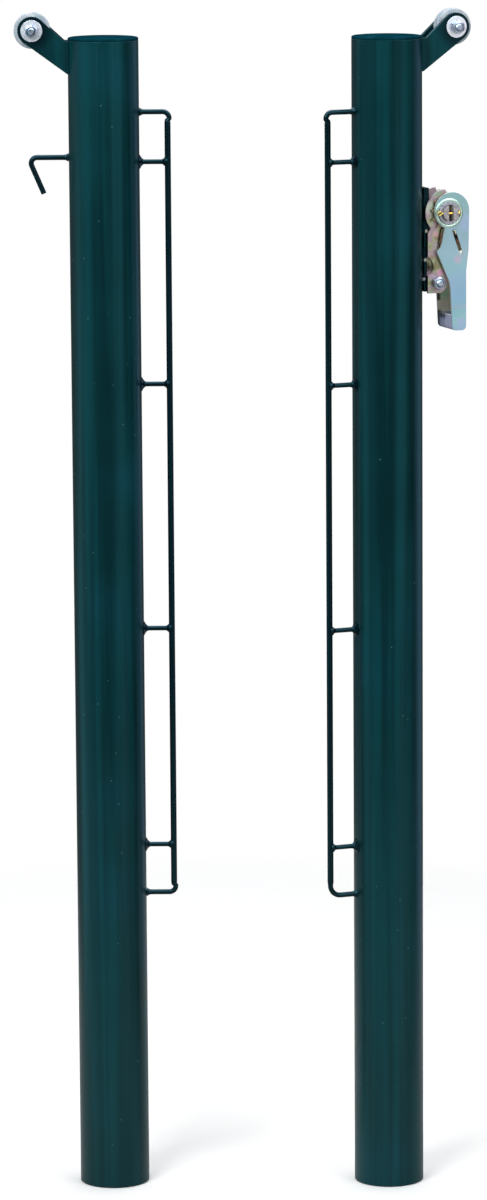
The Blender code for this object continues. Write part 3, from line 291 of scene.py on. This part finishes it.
def turned_nylon():
    """Natural nylon turned on a lathe: pale blue-grey, a little translucent, with a fine matt grain, drawn
    coarser than it is."""
    made, tree, shader, place = start("turned_nylon", Metallic=0.0, IOR=1.53, Roughness=0.38)
    cloud = node(tree, "ShaderNodeTexNoise", {"Vector": place, "Scale": spacing(11), "Detail": 4})
    tone = node(tree, "ShaderNodeValToRGB", {"Fac": cloud.outputs["Fac"]},
                stops=[(0.35, colour("94A3AE")), (0.55, colour("A9B5BF")), (0.7, colour("C2CBD3"))])
    tree.links.new(tone.outputs["Color"], shader.inputs["Base Color"])
    shader.inputs["Subsurface Weight"].default_value = 0.25
    shader.inputs["Subsurface Scale"].default_value = 4 * MM
    fine = node(tree, "ShaderNodeTexNoise", {"Vector": place, "Scale": spacing(0.7), "Detail": 2})
    bump = node(tree, "ShaderNodeBump", {"Height": fine.outputs["Fac"], "Strength": 0.15,
                                         "Distance": 0.1 * MM})
    tree.links.new(bump.outputs["Normal"], shader.inputs["Normal"])
    return made


def zinc(name, tints, roughness, patch, metallic=1.0):
    """Electroplated zinc with a chromate film: the film's colours drift over the sheet like oil on water, in
    patches of so many mm, and fine rolling marks keep it from looking like a mirror."""
    made, tree, shader, place = start(name, Metallic=metallic)
    warp = node(tree, "ShaderNodeTexNoise", {"Vector": place, "Scale": spacing(patch / 0.6), "Detail": 2})
    bent = node(tree, "ShaderNodeVectorMath", {0: warp.outputs["Color"], "Scale": 20 * MM},
                operation="SCALE")
    moved = node(tree, "ShaderNodeVectorMath", {0: place, 1: bent.outputs["Vector"]}, operation="ADD")
    film = node(tree, "ShaderNodeTexNoise", {"Vector": moved.outputs["Vector"], "Scale": spacing(patch),
                                             "Detail": 3, "Roughness": 0.45})
    steps = [(0.3 + 0.4 * i / (len(tints) - 1), colour(t)) for i, t in enumerate(tints)]
    tone = node(tree, "ShaderNodeValToRGB", {"Fac": film.outputs["Fac"]}, stops=steps)
    # Real rolling marks are ten times finer, too fine to show
    fine = node(tree, "ShaderNodeTexNoise", {"Vector": place, "Scale": spacing(1.1), "Detail": 4,
                                             "Roughness": 0.6})
    shade = node(tree, "ShaderNodeMapRange", {"Value": fine.outputs["Fac"], "From Min": 0.3,
                                              "From Max": 0.7, "To Min": 0.9, "To Max": 1.03})
    shaded = node(tree, "ShaderNodeVectorMath", {0: tone.outputs["Color"]}, operation="SCALE")
    tree.links.new(shade.outputs["Result"], shaded.inputs["Scale"])
    tree.links.new(shaded.outputs["Vector"], shader.inputs["Base Color"])
    rough = node(tree, "ShaderNodeMapRange", {"Value": film.outputs["Fac"], "From Min": 0.3,
                                              "From Max": 0.7, "To Min": roughness - 0.06,
                                              "To Max": roughness + 0.08})
    tree.links.new(rough.outputs["Result"], shader.inputs["Roughness"])
    bump = node(tree, "ShaderNodeBump", {"Height": fine.outputs["Fac"], "Strength": 0.2,
                                         "Distance": 0.1 * MM})
    tree.links.new(bump.outputs["Normal"], shader.inputs["Normal"])
    return made


def spotted(tree, under, axis, spots):
    """Marks on a colour. Each is a place from an axis and a radius in mm, a colour, and how much of it
    shows."""
    place = node(tree, "ShaderNodeTexCoord").outputs["Object"]
    for at, radius, tint, amount in spots:
        away = node(tree, "ShaderNodeVectorMath", {0: place, 1: axis @ (Vector(at) * MM)},
                    operation="DISTANCE")
        near = node(tree, "ShaderNodeMapRange", {"Value": away.outputs["Value"],
                                                 "From Min": radius * 0.4 * MM, "From Max": radius * MM,
                                                 "To Min": amount, "To Max": 0})
        mixed = node(tree, "ShaderNodeMix", {"Factor": near.outputs["Result"], "A": under, "B": colour(tint)},
                     data_type="RGBA")
        under = mixed.outputs["Result"]
    return under


def with_spots(made, axis, spots):
    """A finish with marks on it."""
    base = made.node_tree.nodes["Principled BSDF"].inputs["Base Color"]
    made.node_tree.links.new(spotted(made.node_tree, base.links[0].from_socket, axis, spots), base)
    return made


def pressed_handle():
    """Blue passivated zinc on the pressed handle: greener at the head and bluer down the grip outside. Inside the
    fold the colours are painted light: pale and chalky-looking, lilac at the grip's foot, and with little metal,
    so that the inside shows lit where the lamps barely reach."""
    made = zinc("blue_passivated_zinc", ["98BFC2", "A6C2C8", "A8BED2", "B0C2D0", "C2B8C6"],
                roughness=0.42, patch=29.4)
    tree = made.node_tree
    shader = tree.nodes["Principled BSDF"]
    found = node(tree, "ShaderNodeTexCoord")
    place = found.outputs["Object"]
    film = shader.inputs["Base Color"].links[0].from_socket
    wave = node(tree, "ShaderNodeTexNoise", {"Vector": place, "Scale": spacing(22.2), "Detail": 2})
    way = node(tree, "ShaderNodeSeparateXYZ", {"Vector": place})

    # The colours from the grip's foot to the head, with edges that waver by up to 20 mm
    uneven = node(tree, "ShaderNodeMath", {0: wave.outputs["Fac"], 1: 20 * MM, 2: way.outputs["Z"]},
                  operation="MULTIPLY_ADD")
    up = node(tree, "ShaderNodeMapRange", {"Value": uneven.outputs["Value"],
                                           "From Min": SPINDLE_HEIGHT + FILM_FROM * MM,
                                           "From Max": SPINDLE_HEIGHT + FILM_TO * MM})
    zone = node(tree, "ShaderNodeValToRGB", {"Fac": up.outputs["Result"]},
                stops=[(at, colour(tint)) for at, tint in HANDLE_FILM])
    outside = node(tree, "ShaderNodeMix", {"Factor": 0.7, "A": film, "B": zone.outputs["Color"]},
                   data_type="RGBA")

    # Inside is what lies between the plates' middles and doesn't face outwards from the grip
    width = SPINDLE.to_3x3() @ Vector((0, 1, 0))
    along = node(tree, "ShaderNodeVectorMath", {0: place, 1: width}, operation="DOT_PRODUCT")
    off = node(tree, "ShaderNodeMath", {0: along.outputs["Value"], 1: width.dot(SPINDLE.translation)},
               operation="SUBTRACT")
    far = node(tree, "ShaderNodeMath", {0: off.outputs["Value"]}, operation="ABSOLUTE")
    between = node(tree, "ShaderNodeMath", {0: far.outputs["Value"],
                                            1: (PLATE_INSIDE + PLATE_OUTSIDE) / 2 * MM},
                   operation="LESS_THAN")
    outwards = SPINDLE.to_3x3() @ Vector((0.7, 0, -0.7))
    facing = node(tree, "ShaderNodeVectorMath", {0: found.outputs["Normal"], 1: outwards},
                  operation="DOT_PRODUCT")
    hidden = node(tree, "ShaderNodeMath", {0: facing.outputs["Value"], 1: 0.3}, operation="LESS_THAN")
    inner = node(tree, "ShaderNodeMath", {0: between.outputs["Value"], 1: hidden.outputs["Value"]},
                 operation="MULTIPLY")
    # Painted light: the inside gets pale base colours and little metal, so that it shows lit where the lamps
    # barely reach
    painted_light_inside = node(tree, "ShaderNodeValToRGB", {"Fac": wave.outputs["Fac"]},
                  stops=[(0.3, colour("F0F2E4")), (0.6, colour("F6F0DE")), (0.75, colour("E6F6EA"))])
    foot = node(tree, "ShaderNodeMath", {0: way.outputs["Z"], 1: SPINDLE_HEIGHT + GRIP_FOOT * MM},
                operation="LESS_THAN")
    fold = node(tree, "ShaderNodeMix", {"Factor": foot.outputs["Value"], "A": painted_light_inside.outputs["Color"],
                                        "B": colour("ACB4D6")}, data_type="RGBA")
    # Painted shade down the fold's far corner and round the grip's foot
    inside_with_painted_shade = spotted(tree, fold.outputs["Result"], SPINDLE, FOLD_PATCHES_AND_SHADE)
    folded = node(tree, "ShaderNodeMix", {"Factor": inner.outputs["Value"], "A": outside.outputs["Result"],
                                          "B": inside_with_painted_shade}, data_type="RGBA")
    tree.links.new(folded.outputs["Result"], shader.inputs["Base Color"])
    dull = node(tree, "ShaderNodeMapRange", {"Value": inner.outputs["Value"], "To Min": 1.0, "To Max": 0.05})
    tree.links.new(dull.outputs["Result"], shader.inputs["Metallic"])
    return made


def sintered_bronze():
    """Sintered bronze: warm brown metal full of tiny oil-filled pores, drawn coarser than they are."""
    made, tree, shader, place = start("sintered_bronze", Metallic=1.0, Roughness=0.42)
    pores = node(tree, "ShaderNodeTexVoronoi", {"Vector": place, "Scale": spacing(0.55)})
    tone = node(tree, "ShaderNodeValToRGB", {"Fac": pores.outputs["Distance"]},
                stops=[(0.1, colour("5B3D1E")), (0.3, colour("9A6C38")), (0.6, colour("B98A50"))])
    tree.links.new(tone.outputs["Color"], shader.inputs["Base Color"])
    bump = node(tree, "ShaderNodeBump", {"Height": pores.outputs["Distance"], "Strength": 0.4,
                                         "Distance": 0.1 * MM})
    tree.links.new(bump.outputs["Normal"], shader.inputs["Normal"])
    return made


def spring_wire():
    """Drawn spring steel: grey wire in a film of oil, with fine draw lines, drawn coarser than they are."""
    made, tree, shader, place = start("drawn_spring_wire", Metallic=1.0)
    lines = node(tree, "ShaderNodeTexNoise", {"Vector": place, "Scale": spacing(0.8), "Detail": 4})
    tone = node(tree, "ShaderNodeValToRGB", {"Fac": lines.outputs["Fac"]},
                stops=[(0.3, colour("6F7376")), (0.7, colour("A2A6A9"))])
    tree.links.new(tone.outputs["Color"], shader.inputs["Base Color"])
    rough = node(tree, "ShaderNodeMapRange", {"Value": lines.outputs["Fac"], "To Min": 0.22, "To Max": 0.4})
    tree.links.new(rough.outputs["Result"], shader.inputs["Roughness"])
    return made


MATERIALS = {
    "painted_tube": powder_coat("powder_coated_steel", PAINT),
    "black_plastic": moulded_polyethylene(),
    # A thin rod takes more powder, and looks nearly black
    "rod_paint": powder_coat("powder_coat_on_the_thin_rods", THIN_ROD_PAINT),
    "nylon": turned_nylon(),
    "bronze": sintered_bronze(),
    # Washers and spacer: almost white, with a soft blue sheen
    "bright_zinc": zinc("bright_zinc_plate", ["D2D8E6", "E8EAF0", "DCE0EE"],
                        roughness=0.36, patch=8.33, metallic=0.75),
    # The handle's near plate carries film colours, and painted light and shade of a crease across the grip
    "blue_zinc": with_spots(pressed_handle(), SPINDLE, HANDLE_FILM_AND_CREASE_SHADE),
    "spring_steel": spring_wire(),
    # Hardened teeth and pressed pawls: yellow film drawn dark, in brown and olive
    "wheel_zinc": zinc("yellow_zinc_on_hardened_teeth", ["6E604E", "93816C", "7D7662", "A08A70"],
                       roughness=0.4, patch=6.67),
    "pawl_zinc": zinc("yellow_zinc_on_pressed_pawls", PAWL_FILM, roughness=0.42, patch=7.14),
    # The drive pawl carries painted shadow on the upper half of its ears
    "drive_zinc": with_spots(zinc("yellow_zinc_on_the_drive_pawl", PAWL_FILM, roughness=0.42, patch=7.14),
                             SPINDLE, PAWL_PAINTED_SHADOW),
    # Forged ends and their washers: dull and mottled lilac grey
    "spindle_zinc": zinc("dull_zinc_on_forged_bars", ["9A969A", "B6B0B6", "8A8680", "C4BEC2"],
                         roughness=0.5, patch=4.55, metallic=0.4),
    "washer_zinc": zinc("dull_zinc_on_spindle_washers", ["98949E", "B8B4BC", "8A8690", "C8C4CA"],
                        roughness=0.5, patch=4.17),
    # Bent wire in a fresh yellow film: gold with orange bends
    "cotter_zinc": zinc("yellow_zinc_on_cotters", ["C39A3A", "DABB62", "C67F40"],
                        roughness=0.36, patch=3.85),
    # Drawn rim in a pale green film
    "collar_zinc": zinc("zinc_on_handle_collars", ["B4D2C4", "C8E0CE", "BCD8D4"],
                        roughness=0.38, patch=11.1),
    # The bar lies in the shade between tube and frame, and its paint is drawn close to black as painted shade,
    # with pale painted highlights where its weld beads catch light
    "bar_painted_shade_and_highlights": with_spots(powder_coat("powder_coat_darkened_as_painted_shade", GAP_PAINTED_SHADE), SPINDLE, WELD_BEAD_HIGHLIGHTS),
    # The arms' paint has a painted dark ring of shade round each pulley's axis
    "hook_arm_paint": with_spots(powder_coat("powder_coat_on_the_hook_post_arm", PAINT),
                                 HOOK_PULLEY, ARM_END_PAINTED_SHADE),
    "ratchet_arm_paint": with_spots(powder_coat("powder_coat_on_the_ratchet_post_arm", PAINT),
                                    RATCHET_PULLEY, ARM_END_PAINTED_SHADE),
    # Smooth plated hexagons: blue-grey, and the glossiest metal here
    "nut_zinc": zinc("zinc_on_nuts_and_bolts", ["8E98AE", "B4BCCC", "A4AEC0"], roughness=0.3, patch=6.25),
    # Yellow film on rolled sheet: olive, straw and pink in broad patches, with painted shade in the recess of the
    # near cheek
    "frame_zinc": with_spots(
        zinc("yellow_passivated_zinc_on_the_frame", ["8E8868", "AAAE90", "A8949A", "B69EA6", "96A68C"],
             roughness=0.42, patch=16.67),
        SPINDLE, FRAME_SHADE_AND_PATCHES),
}
# The nodes whose finish isn't the one of their material slot
OWN_FINISH = {
    "ratchet_mounting_bar": "bar_painted_shade_and_highlights",
    "ratchet_frame": "frame_zinc",
    "drive_pawl": "drive_zinc",
    "holding_pawl": "pawl_zinc",
    "spindle_bar_inner": "spindle_zinc",
    "spindle_bar_outer": "spindle_zinc",
}
for end in ("near", "far"):
    OWN_FINISH["ratchet_wheel_" + end] = "wheel_zinc"
    OWN_FINISH["spindle_cotter_" + end] = "cotter_zinc"
    OWN_FINISH["spindle_washer_" + end] = "washer_zinc"
for cheek in ("a", "b"):
    OWN_FINISH["hook_post_arm_cheek_" + cheek] = "hook_arm_paint"
    OWN_FINISH["ratchet_post_arm_cheek_" + cheek] = "ratchet_arm_paint"
for name in NODES:
    if name.endswith(("lacing_rod", "cable_hook")) or "_rung_" in name:
        OWN_FINISH[name] = "rod_paint"


def dress_nodes():
    """Gives every CAD node its material, merged corners, and edges rounded as the real ones are: 0.5 mm on
    sheared sheet, and 0.25 mm on the rest."""
    slots = {part["node"]: part["material_slot"] for part in frame["record"]["subparts"]}
    for name, piece in NODES.items():
        piece.data.materials.clear()
        piece.data.materials.append(MATERIALS[OWN_FINISH.get(name, slots[name])])
        piece.data.shade_smooth()
        weld = piece.modifiers.new("merge", "WELD")
        weld.merge_threshold = 0.002 * MM
        if "spring" in name:
            continue
        bevel = piece.modifiers.new("edges", "BEVEL")
        bevel.width = (0.5 if "cheek" in name or name == "ratchet_handle" else 0.25) * MM
        bevel.segments = 2
        bevel.limit_method = "ANGLE"
        bevel.angle_limit = math.radians(38)
        bevel.use_clamp_overlap = True
        normals = piece.modifiers.new("flat_faces", "WEIGHTED_NORMAL")
        normals.mode = "FACE_AREA"
        normals.weight = 60
        normals.keep_sharp = False


def turned(name, rings, solid=False, sides=72):
    """A piece turned about Z, from rings of (radius, height) in mm. A bored one closes on its first ring."""
    bpy.ops.object.select_all(action="DESELECT")
    radius, height = rings[0]
    bpy.ops.mesh.primitive_circle_add(vertices=sides, radius=radius * MM, location=(0, 0, height * MM),
                                      fill_type="NGON" if solid else "NOTHING")
    piece = bpy.context.object
    piece.name = name
    bpy.ops.object.transform_apply()
    bpy.ops.object.mode_set(mode="EDIT")
    bpy.ops.mesh.select_all(action="SELECT")
    for wide, high in rings[1:] if solid else rings[1:] + rings[:1]:
        bpy.ops.mesh.extrude_region_move(TRANSFORM_OT_translate={"value": (0, 0, (high - height) * MM)})
        bpy.ops.transform.resize(value=(wide / radius, wide / radius, 1), center_override=(0, 0, 0))
        radius, height = wide, high
    bpy.ops.mesh.select_all(action="SELECT")
    bpy.ops.mesh.remove_doubles(threshold=0.001 * MM)
    bpy.ops.mesh.normals_make_consistent(inside=False)
    bpy.ops.object.mode_set(mode="OBJECT")
    return piece


def coil(name, radius, section, corners, turns, pitch):
    """A section wound up round Z with closed ends: a wire where it has many corners, a thread's ridge where
    it has four."""
    bpy.ops.object.select_all(action="DESELECT")
    bpy.ops.mesh.primitive_circle_add(vertices=corners, radius=section * MM, location=(radius * MM, 0, 0),
                                      rotation=(math.pi / 2, 0, 0))
    piece = bpy.context.object
    piece.name = name
    bpy.ops.object.transform_apply()
    wind = piece.modifiers.new("wind", "SCREW")
    wind.axis = "Z"
    wind.angle = 2 * math.pi
    wind.screw_offset = pitch * MM
    wind.iterations = turns
    wind.steps = wind.render_steps = 28
    wind.use_merge_vertices = False
    bpy.ops.object.modifier_apply(modifier="wind")
    bpy.ops.object.mode_set(mode="EDIT")
    bpy.ops.mesh.select_all(action="SELECT")
    bpy.ops.mesh.fill_holes(sides=corners)
    bpy.ops.mesh.normals_make_consistent(inside=False)
    bpy.ops.object.mode_set(mode="OBJECT")
    return piece


def carve(piece, tool, operation):
    """A Boolean between two solids, which uses up the tool."""
    cut = piece.modifiers.new("carve", "BOOLEAN")
    cut.object = tool
    cut.operation = operation
    cut.solver = "EXACT"
    bpy.ops.object.select_all(action="DESELECT")
    bpy.context.view_layer.objects.active = piece
    bpy.ops.object.modifier_apply(modifier="carve")
    bpy.data.objects.remove(tool, do_unlink=True)


def hexagon(name, low, high, turned_by):
    """A hexagon with the corners of both its ends turned off at 30 degrees."""
    bpy.ops.object.select_all(action="DESELECT")
    bpy.ops.mesh.primitive_cylinder_add(vertices=6, radius=ACROSS_FLATS / 2 / math.cos(math.pi / 6) * MM,
                                        depth=(high - low) * MM, location=(0, 0, (low + high) / 2 * MM),
                                        rotation=(0, 0, math.radians(turned_by)))
    piece = bpy.context.object
    piece.name = name
    bpy.ops.object.transform_apply()
    rings = [(6.1, low - 0.01), (7.7, low + 0.9), (7.7, high - 0.9), (6.1, high + 0.01)]
    carve(piece, turned("corners", rings, solid=True), "INTERSECT")
    return piece


def hex_bolt(name, length):
    """M8 bolt with its head below Z = 0: a plain shank, then a rolled thread."""
    piece = hexagon(name, -HEAD_HEIGHT, 0, turned_by=30)
    thread_from = length - THREAD_LENGTH
    core = 3.42
    rings = [(3.9, -0.4), (4, 0.1), (4, thread_from - 0.6), (core, thread_from), (core, length - 0.5),
             (2.9, length)]
    shank = turned("shank", rings, solid=True, sides=48)
    ridge = coil("ridge", core + 0.04, 0.52, corners=4, turns=10, pitch=THREAD_PITCH)
    ridge.data.transform(mm_shift(z=thread_from + 0.6))
    join(piece, shank, ridge)
    return piece


def hex_nut(name):
    """M8 nut on Z = 0, bored for the bolt, with a countersink at both ends."""
    piece = hexagon(name, 0, NUT_HEIGHT, turned_by=0)
    rings = [(4.9, -0.1), (4.1, 0.75), (4.1, NUT_HEIGHT - 0.75), (4.9, NUT_HEIGHT + 0.1)]
    carve(piece, turned("bore", rings, solid=True, sides=48), "DIFFERENCE")
    return piece


def join(piece, *others):
    """Makes the others part of a piece."""
    bpy.ops.object.select_all(action="DESELECT")
    for found in (*others, piece):
        found.select_set(True)
    bpy.context.view_layer.objects.active = piece
    bpy.ops.object.join()


def seat(piece, place, body, look, slot, *nodes, angle=32):
    """Sets a finished piece in its place in the model, in its finish, on its body."""
    piece.data.transform(place)
    piece.data.materials.clear()
    piece.data.materials.append(MATERIALS[look])
    bpy.ops.object.select_all(action="DESELECT")
    piece.select_set(True)
    bpy.context.view_layer.objects.active = piece
    bpy.ops.object.shade_smooth_by_angle(angle=math.radians(angle))
    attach(piece, body)
    if nodes:
        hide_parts(*nodes)


def across(side):
    """Turns a piece's Z to lie across the post: 1 is along the place's Y, and -1 is against it."""
    return Matrix.Rotation(-side * math.pi / 2, 4, "X")


def copied(piece, name):
    """A copy with a mesh of its own."""
    made = piece.copy()
    made.data = piece.data.copy()
    made.name = name
    bpy.context.scene.collection.objects.link(made)
    return made


def fit_pulleys():
    """The nylon wheels, with rounded rims and groove, and their threaded bolts and nuts."""
    rim, face, web = 20.47, 6.5, 4.5
    groove = [(16.2, 0.4), (16.3, 1.3), (16.65, 2.2), (17.3, 3.1), (18.6, 3.65), (20.2, 4.15), (rim, 4.5)]
    side = [(rim, 5.85), (20.3, 6.3), (19.9, face), (13.6, face), (13.2, 6.15), (13, 4.9), (12.6, web),
            (9.5, web), (9.15, 4.85), (9, 6.2), (8.7, face), (7.1, face), (6.8, 6.2)]
    half = groove + side
    wheel = turned("pulley_wheel", half + [(wide, -high) for wide, high in reversed(half)], sides=96)
    bolt = hex_bolt("pulley_bolt_m8", PULLEY_BOLT_LENGTH)
    nut = hex_nut("pulley_nut_m8")
    for axis, prefix, body, front in ((HOOK_PULLEY, "hook_post_", "hook_pulley", 1),
                                      (RATCHET_PULLEY, "ratchet_post_", "ratchet_pulley", -1)):
        seat(copied(wheel, prefix + "turned_pulley"), axis @ across(1), body, "nylon",
             "nylon", prefix + "pulley")
        along = axis @ across(front)
        seat(copied(nut, prefix + "threaded_nut"), along @ mm_shift(z=PULLEY_SEAT), "posts", "nut_zinc",
             "bright_zinc", prefix + "pulley_nut")
        seat(copied(bolt, prefix + "threaded_bolt"), along @ mm_shift(z=-PULLEY_SEAT), "posts", "nut_zinc",
             "bright_zinc", prefix + "pulley_bolt")
    for found in (wheel, bolt, nut):
        bpy.data.objects.remove(found, do_unlink=True)


def fit_ratchet_bolt():
    """The bolt and nut at the foot of the ratchet's frame."""
    middle = middle_of("ratchet_rear_bolt", SPINDLE)
    along = SPINDLE @ Matrix.Translation((middle.x, 0, middle.z)) @ across(-1)
    seat(hex_nut("ratchet_threaded_nut"), along @ mm_shift(z=FRAME_SEAT), "posts", "nut_zinc",
         "bright_zinc", "ratchet_rear_nut")
    seat(hex_bolt("ratchet_threaded_bolt", REAR_BOLT_LENGTH), along @ mm_shift(z=-FRAME_SEAT), "posts",
         "nut_zinc", "bright_zinc", "ratchet_rear_bolt")


def fit_springs():
    """Both pawls' springs, wound finely, between two places along the pawl's line from the spindle. Each is held
    at its lower end."""
    radius, wire = 3.3, 0.55
    for name, body, joint, off, low, high, turns, node_name in (
            ("drive_spring_coil", "handle", "drive_pawl_slide", DRIVE_LINE, 33.85, 49.65, 5,
             "drive_pawl_spring"),
            ("holding_spring_coil", "posts", "holding_pawl_slide", HOLDING_LINE, 36.85, 53.15, 6,
             "holding_pawl_spring")):
        spring = coil(name, radius, wire, corners=12, turns=turns, pitch=(high - low) / turns)
        line = on_slide(joint, off)
        seat(spring, line @ mm_shift(x=low) @ Matrix.Rotation(math.pi / 2, 4, "Y"), body, "spring_steel",
             "spring_steel", node_name, angle=60)
        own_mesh(spring)


def fit_collars():
    """The collar pressed out of each of the handle's plates round the spindle, in a paler green film than the
    plate."""
    rings = [(13.5, PLATE_OUTSIDE), (13.6, 22.1), (14.1, 22.35), (15.6, 22.3), (16.5, 22.05),
             (17, PLATE_OUTSIDE)]
    for side, word in ((-1, "near"), (1, "far")):
        seat(turned("handle_collar_" + word, rings), SPINDLE @ across(side), "handle", "collar_zinc",
             "blue_zinc")


def fit_slot_tabs():
    """Sheet tabs turned down from the drive pawl's ears, which close the handle's slots below them."""
    slide = on_slide("drive_pawl_slide", DRIVE_LINE)
    out, long, thick, wide, round_end = 41, 10.6, 1.1, 6.6, 3
    behind_plate = PLATE_INSIDE - 0.95
    for side, word in ((-1, "near"), (1, "far")):
        bpy.ops.object.select_all(action="DESELECT")
        bpy.ops.mesh.primitive_cube_add(size=MM, location=(out * MM, behind_plate * side * MM, 0),
                                        scale=(long, thick, wide))
        tab = bpy.context.object
        tab.name = "drive_pawl_tab_" + word
        bpy.ops.object.transform_apply()
        bpy.ops.object.mode_set(mode="EDIT")
        bpy.ops.mesh.select_mode(type="EDGE")
        bpy.ops.mesh.select_all(action="DESELECT")
        bpy.ops.object.mode_set(mode="OBJECT")
        for edge in tab.data.edges:
            one, other = (tab.data.vertices[i].co for i in edge.vertices)
            edge.select = min(one.x, other.x) > (out + 5) * MM and abs(one.z - other.z) < MM
        bpy.ops.object.mode_set(mode="EDIT")
        bpy.ops.mesh.bevel(offset=round_end * MM, segments=8)
        bpy.ops.mesh.select_mode(type="VERT")
        bpy.ops.object.mode_set(mode="OBJECT")
        seat(tab, slide, "drive_pawl", "drive_zinc", "yellow_zinc")


def surround_colour(tree, direction):
    """What polished surfaces see round the posts: a dim studio with a teal panel to the left, a soft window
    to the right, a bluish one behind it, and a bright ceiling. Turns are in degrees from the camera's side,
    to the right."""
    way = node(tree, "ShaderNodeSeparateXYZ", {"Vector": direction})
    ahead = node(tree, "ShaderNodeMath", {0: way.outputs["Y"], 1: -1.0}, operation="MULTIPLY")
    turn = node(tree, "ShaderNodeMath", {0: way.outputs["X"], 1: ahead.outputs["Value"]}, operation="ARCTAN2")
    around = node(tree, "ShaderNodeMapRange", {"Value": turn.outputs["Value"], "From Min": -math.pi,
                                               "From Max": math.pi})
    greys = [(-180, 0.09), (-122, 0.12), (20, 0.34), (30, 0.85), (58, 0.9), (68, 0.12), (100, 0.08),
               (146, 0.08), (180, 0.08)]
    tints = [(-103, (0.5, 0.9, 0.95, 1)), (-46, (0.5, 1, 1, 1)), (-34, (0.3, 0.36, 0.38, 1)),
             (108, (0.3, 0.5, 0.75, 1)), (132, (0.34, 0.54, 0.8, 1))]
    panels = sorted([(turn_to, grey(level)) for turn_to, level in greys] + tints)
    stops = [((turn_to + 180) / 360, value) for turn_to, value in panels]
    walls = node(tree, "ShaderNodeValToRGB", {"Fac": around.outputs["Result"]}, stops=stops)
    high = node(tree, "ShaderNodeMapRange", {"Value": way.outputs["Z"], "From Min": 0.3, "From Max": 0.7})
    ceiling = node(tree, "ShaderNodeMix", {"Factor": high.outputs["Result"], "A": walls.outputs["Color"],
                                           "B": (2, 2.7, 3.2, 1)}, data_type="RGBA")
    return ceiling.outputs["Result"]


def sheet_stage():
    """A small white floor under the posts, whose rim fades into a white surround. What falls on the posts is
    greyer than what the camera sees."""
    bpy.ops.object.select_all(action="DESELECT")
    radius = 1.1
    bpy.ops.mesh.primitive_circle_add(vertices=96, radius=radius, fill_type="NGON",
                                      location=(0, 0.72, -0.5 * MM))
    floor = bpy.context.object
    floor.name = "floor"
    made, tree, shader, place = start("white_floor", Roughness=0.9, Specular_IOR_Level=0.1)
    cloud = node(tree, "ShaderNodeTexNoise", {"Vector": place, "Scale": 3, "Detail": 2})
    tone = node(tree, "ShaderNodeValToRGB", {"Fac": cloud.outputs["Fac"]},
                stops=[(0, grey(0.93)), (1, grey(0.95))])
    ray = node(tree, "ShaderNodeLightPath")
    seen = node(tree, "ShaderNodeMix", {"Factor": ray.outputs["Is Camera Ray"], "A": grey(SEEN_BY_POSTS),
                                        "B": tone.outputs["Color"]}, data_type="RGBA")
    tree.links.new(seen.outputs["Result"], shader.inputs["Base Color"])
    away = node(tree, "ShaderNodeVectorMath", {0: place}, operation="LENGTH")
    rim = node(tree, "ShaderNodeMapRange", {"Value": away.outputs["Value"], "From Min": radius - 0.25,
                                            "From Max": radius - 0.05})
    faded = node(tree, "ShaderNodeMath", {0: rim.outputs["Result"], 1: ray.outputs["Is Camera Ray"]},
                 operation="MULTIPLY")
    glow = node(tree, "ShaderNodeEmission", {"Color": grey(1)})
    sheet = node(tree, "ShaderNodeMixShader", {0: faded.outputs["Value"], 1: shader.outputs["BSDF"],
                                               2: glow.outputs["Emission"]})
    tree.links.new(sheet.outputs["Shader"], tree.nodes["Material Output"].inputs["Surface"])
    floor.data.materials.append(made)

    world = bpy.data.worlds.new("surround")
    world.use_nodes = True
    bpy.context.scene.world = world
    tree = world.node_tree
    back = tree.nodes["Background"]
    ray = node(tree, "ShaderNodeLightPath")
    seen = surround_colour(tree, node(tree, "ShaderNodeTexCoord").outputs["Generated"])
    plain = node(tree, "ShaderNodeMix", {"Factor": ray.outputs["Is Glossy Ray"],
                                         "A": grey(SEEN_BY_POSTS), "B": seen}, data_type="RGBA")
    shown = node(tree, "ShaderNodeMath", {0: ray.outputs["Is Camera Ray"],
                                          1: ray.outputs["Is Transmission Ray"]}, operation="MAXIMUM")
    level = node(tree, "ShaderNodeMix", {"Factor": shown.outputs["Value"], "A": plain.outputs["Result"],
                                         "B": grey(1)}, data_type="RGBA")
    tree.links.new(level.outputs["Result"], back.inputs["Color"])


def lamp(name, place, aim, size, power):
    """A soft box, in metres and watts."""
    data = bpy.data.lights.new(name, "AREA")
    data.shape = "RECTANGLE"
    data.size, data.size_y = size
    data.energy = power
    found = bpy.data.objects.new(name, data)
    bpy.context.scene.collection.objects.link(found)
    found.location = place
    found.rotation_euler = (Vector(aim) - Vector(place)).to_track_quat("-Z", "Y").to_euler()


def set_lights():
    lamp("key_box", (-1.7, -3.0, 3.3), (0, 0, 0.7), (2.0, 2.0), 120)
    lamp("fill_box", (2.6, -2.6, 3.2), (0, 0, 0.7), (2.0, 2.0), 50)
    lamp("top_box", (0.2, 0.6, 3.6), (0, 0, 0), (2.4, 1.8), 60)


set_camera()
dress_nodes()
fit_pulleys()
fit_ratchet_bolt()
fit_springs()
fit_collars()
fit_slot_tabs()
sheet_stage()
set_lights()

bpy.context.scene.view_settings.view_transform = "Standard"
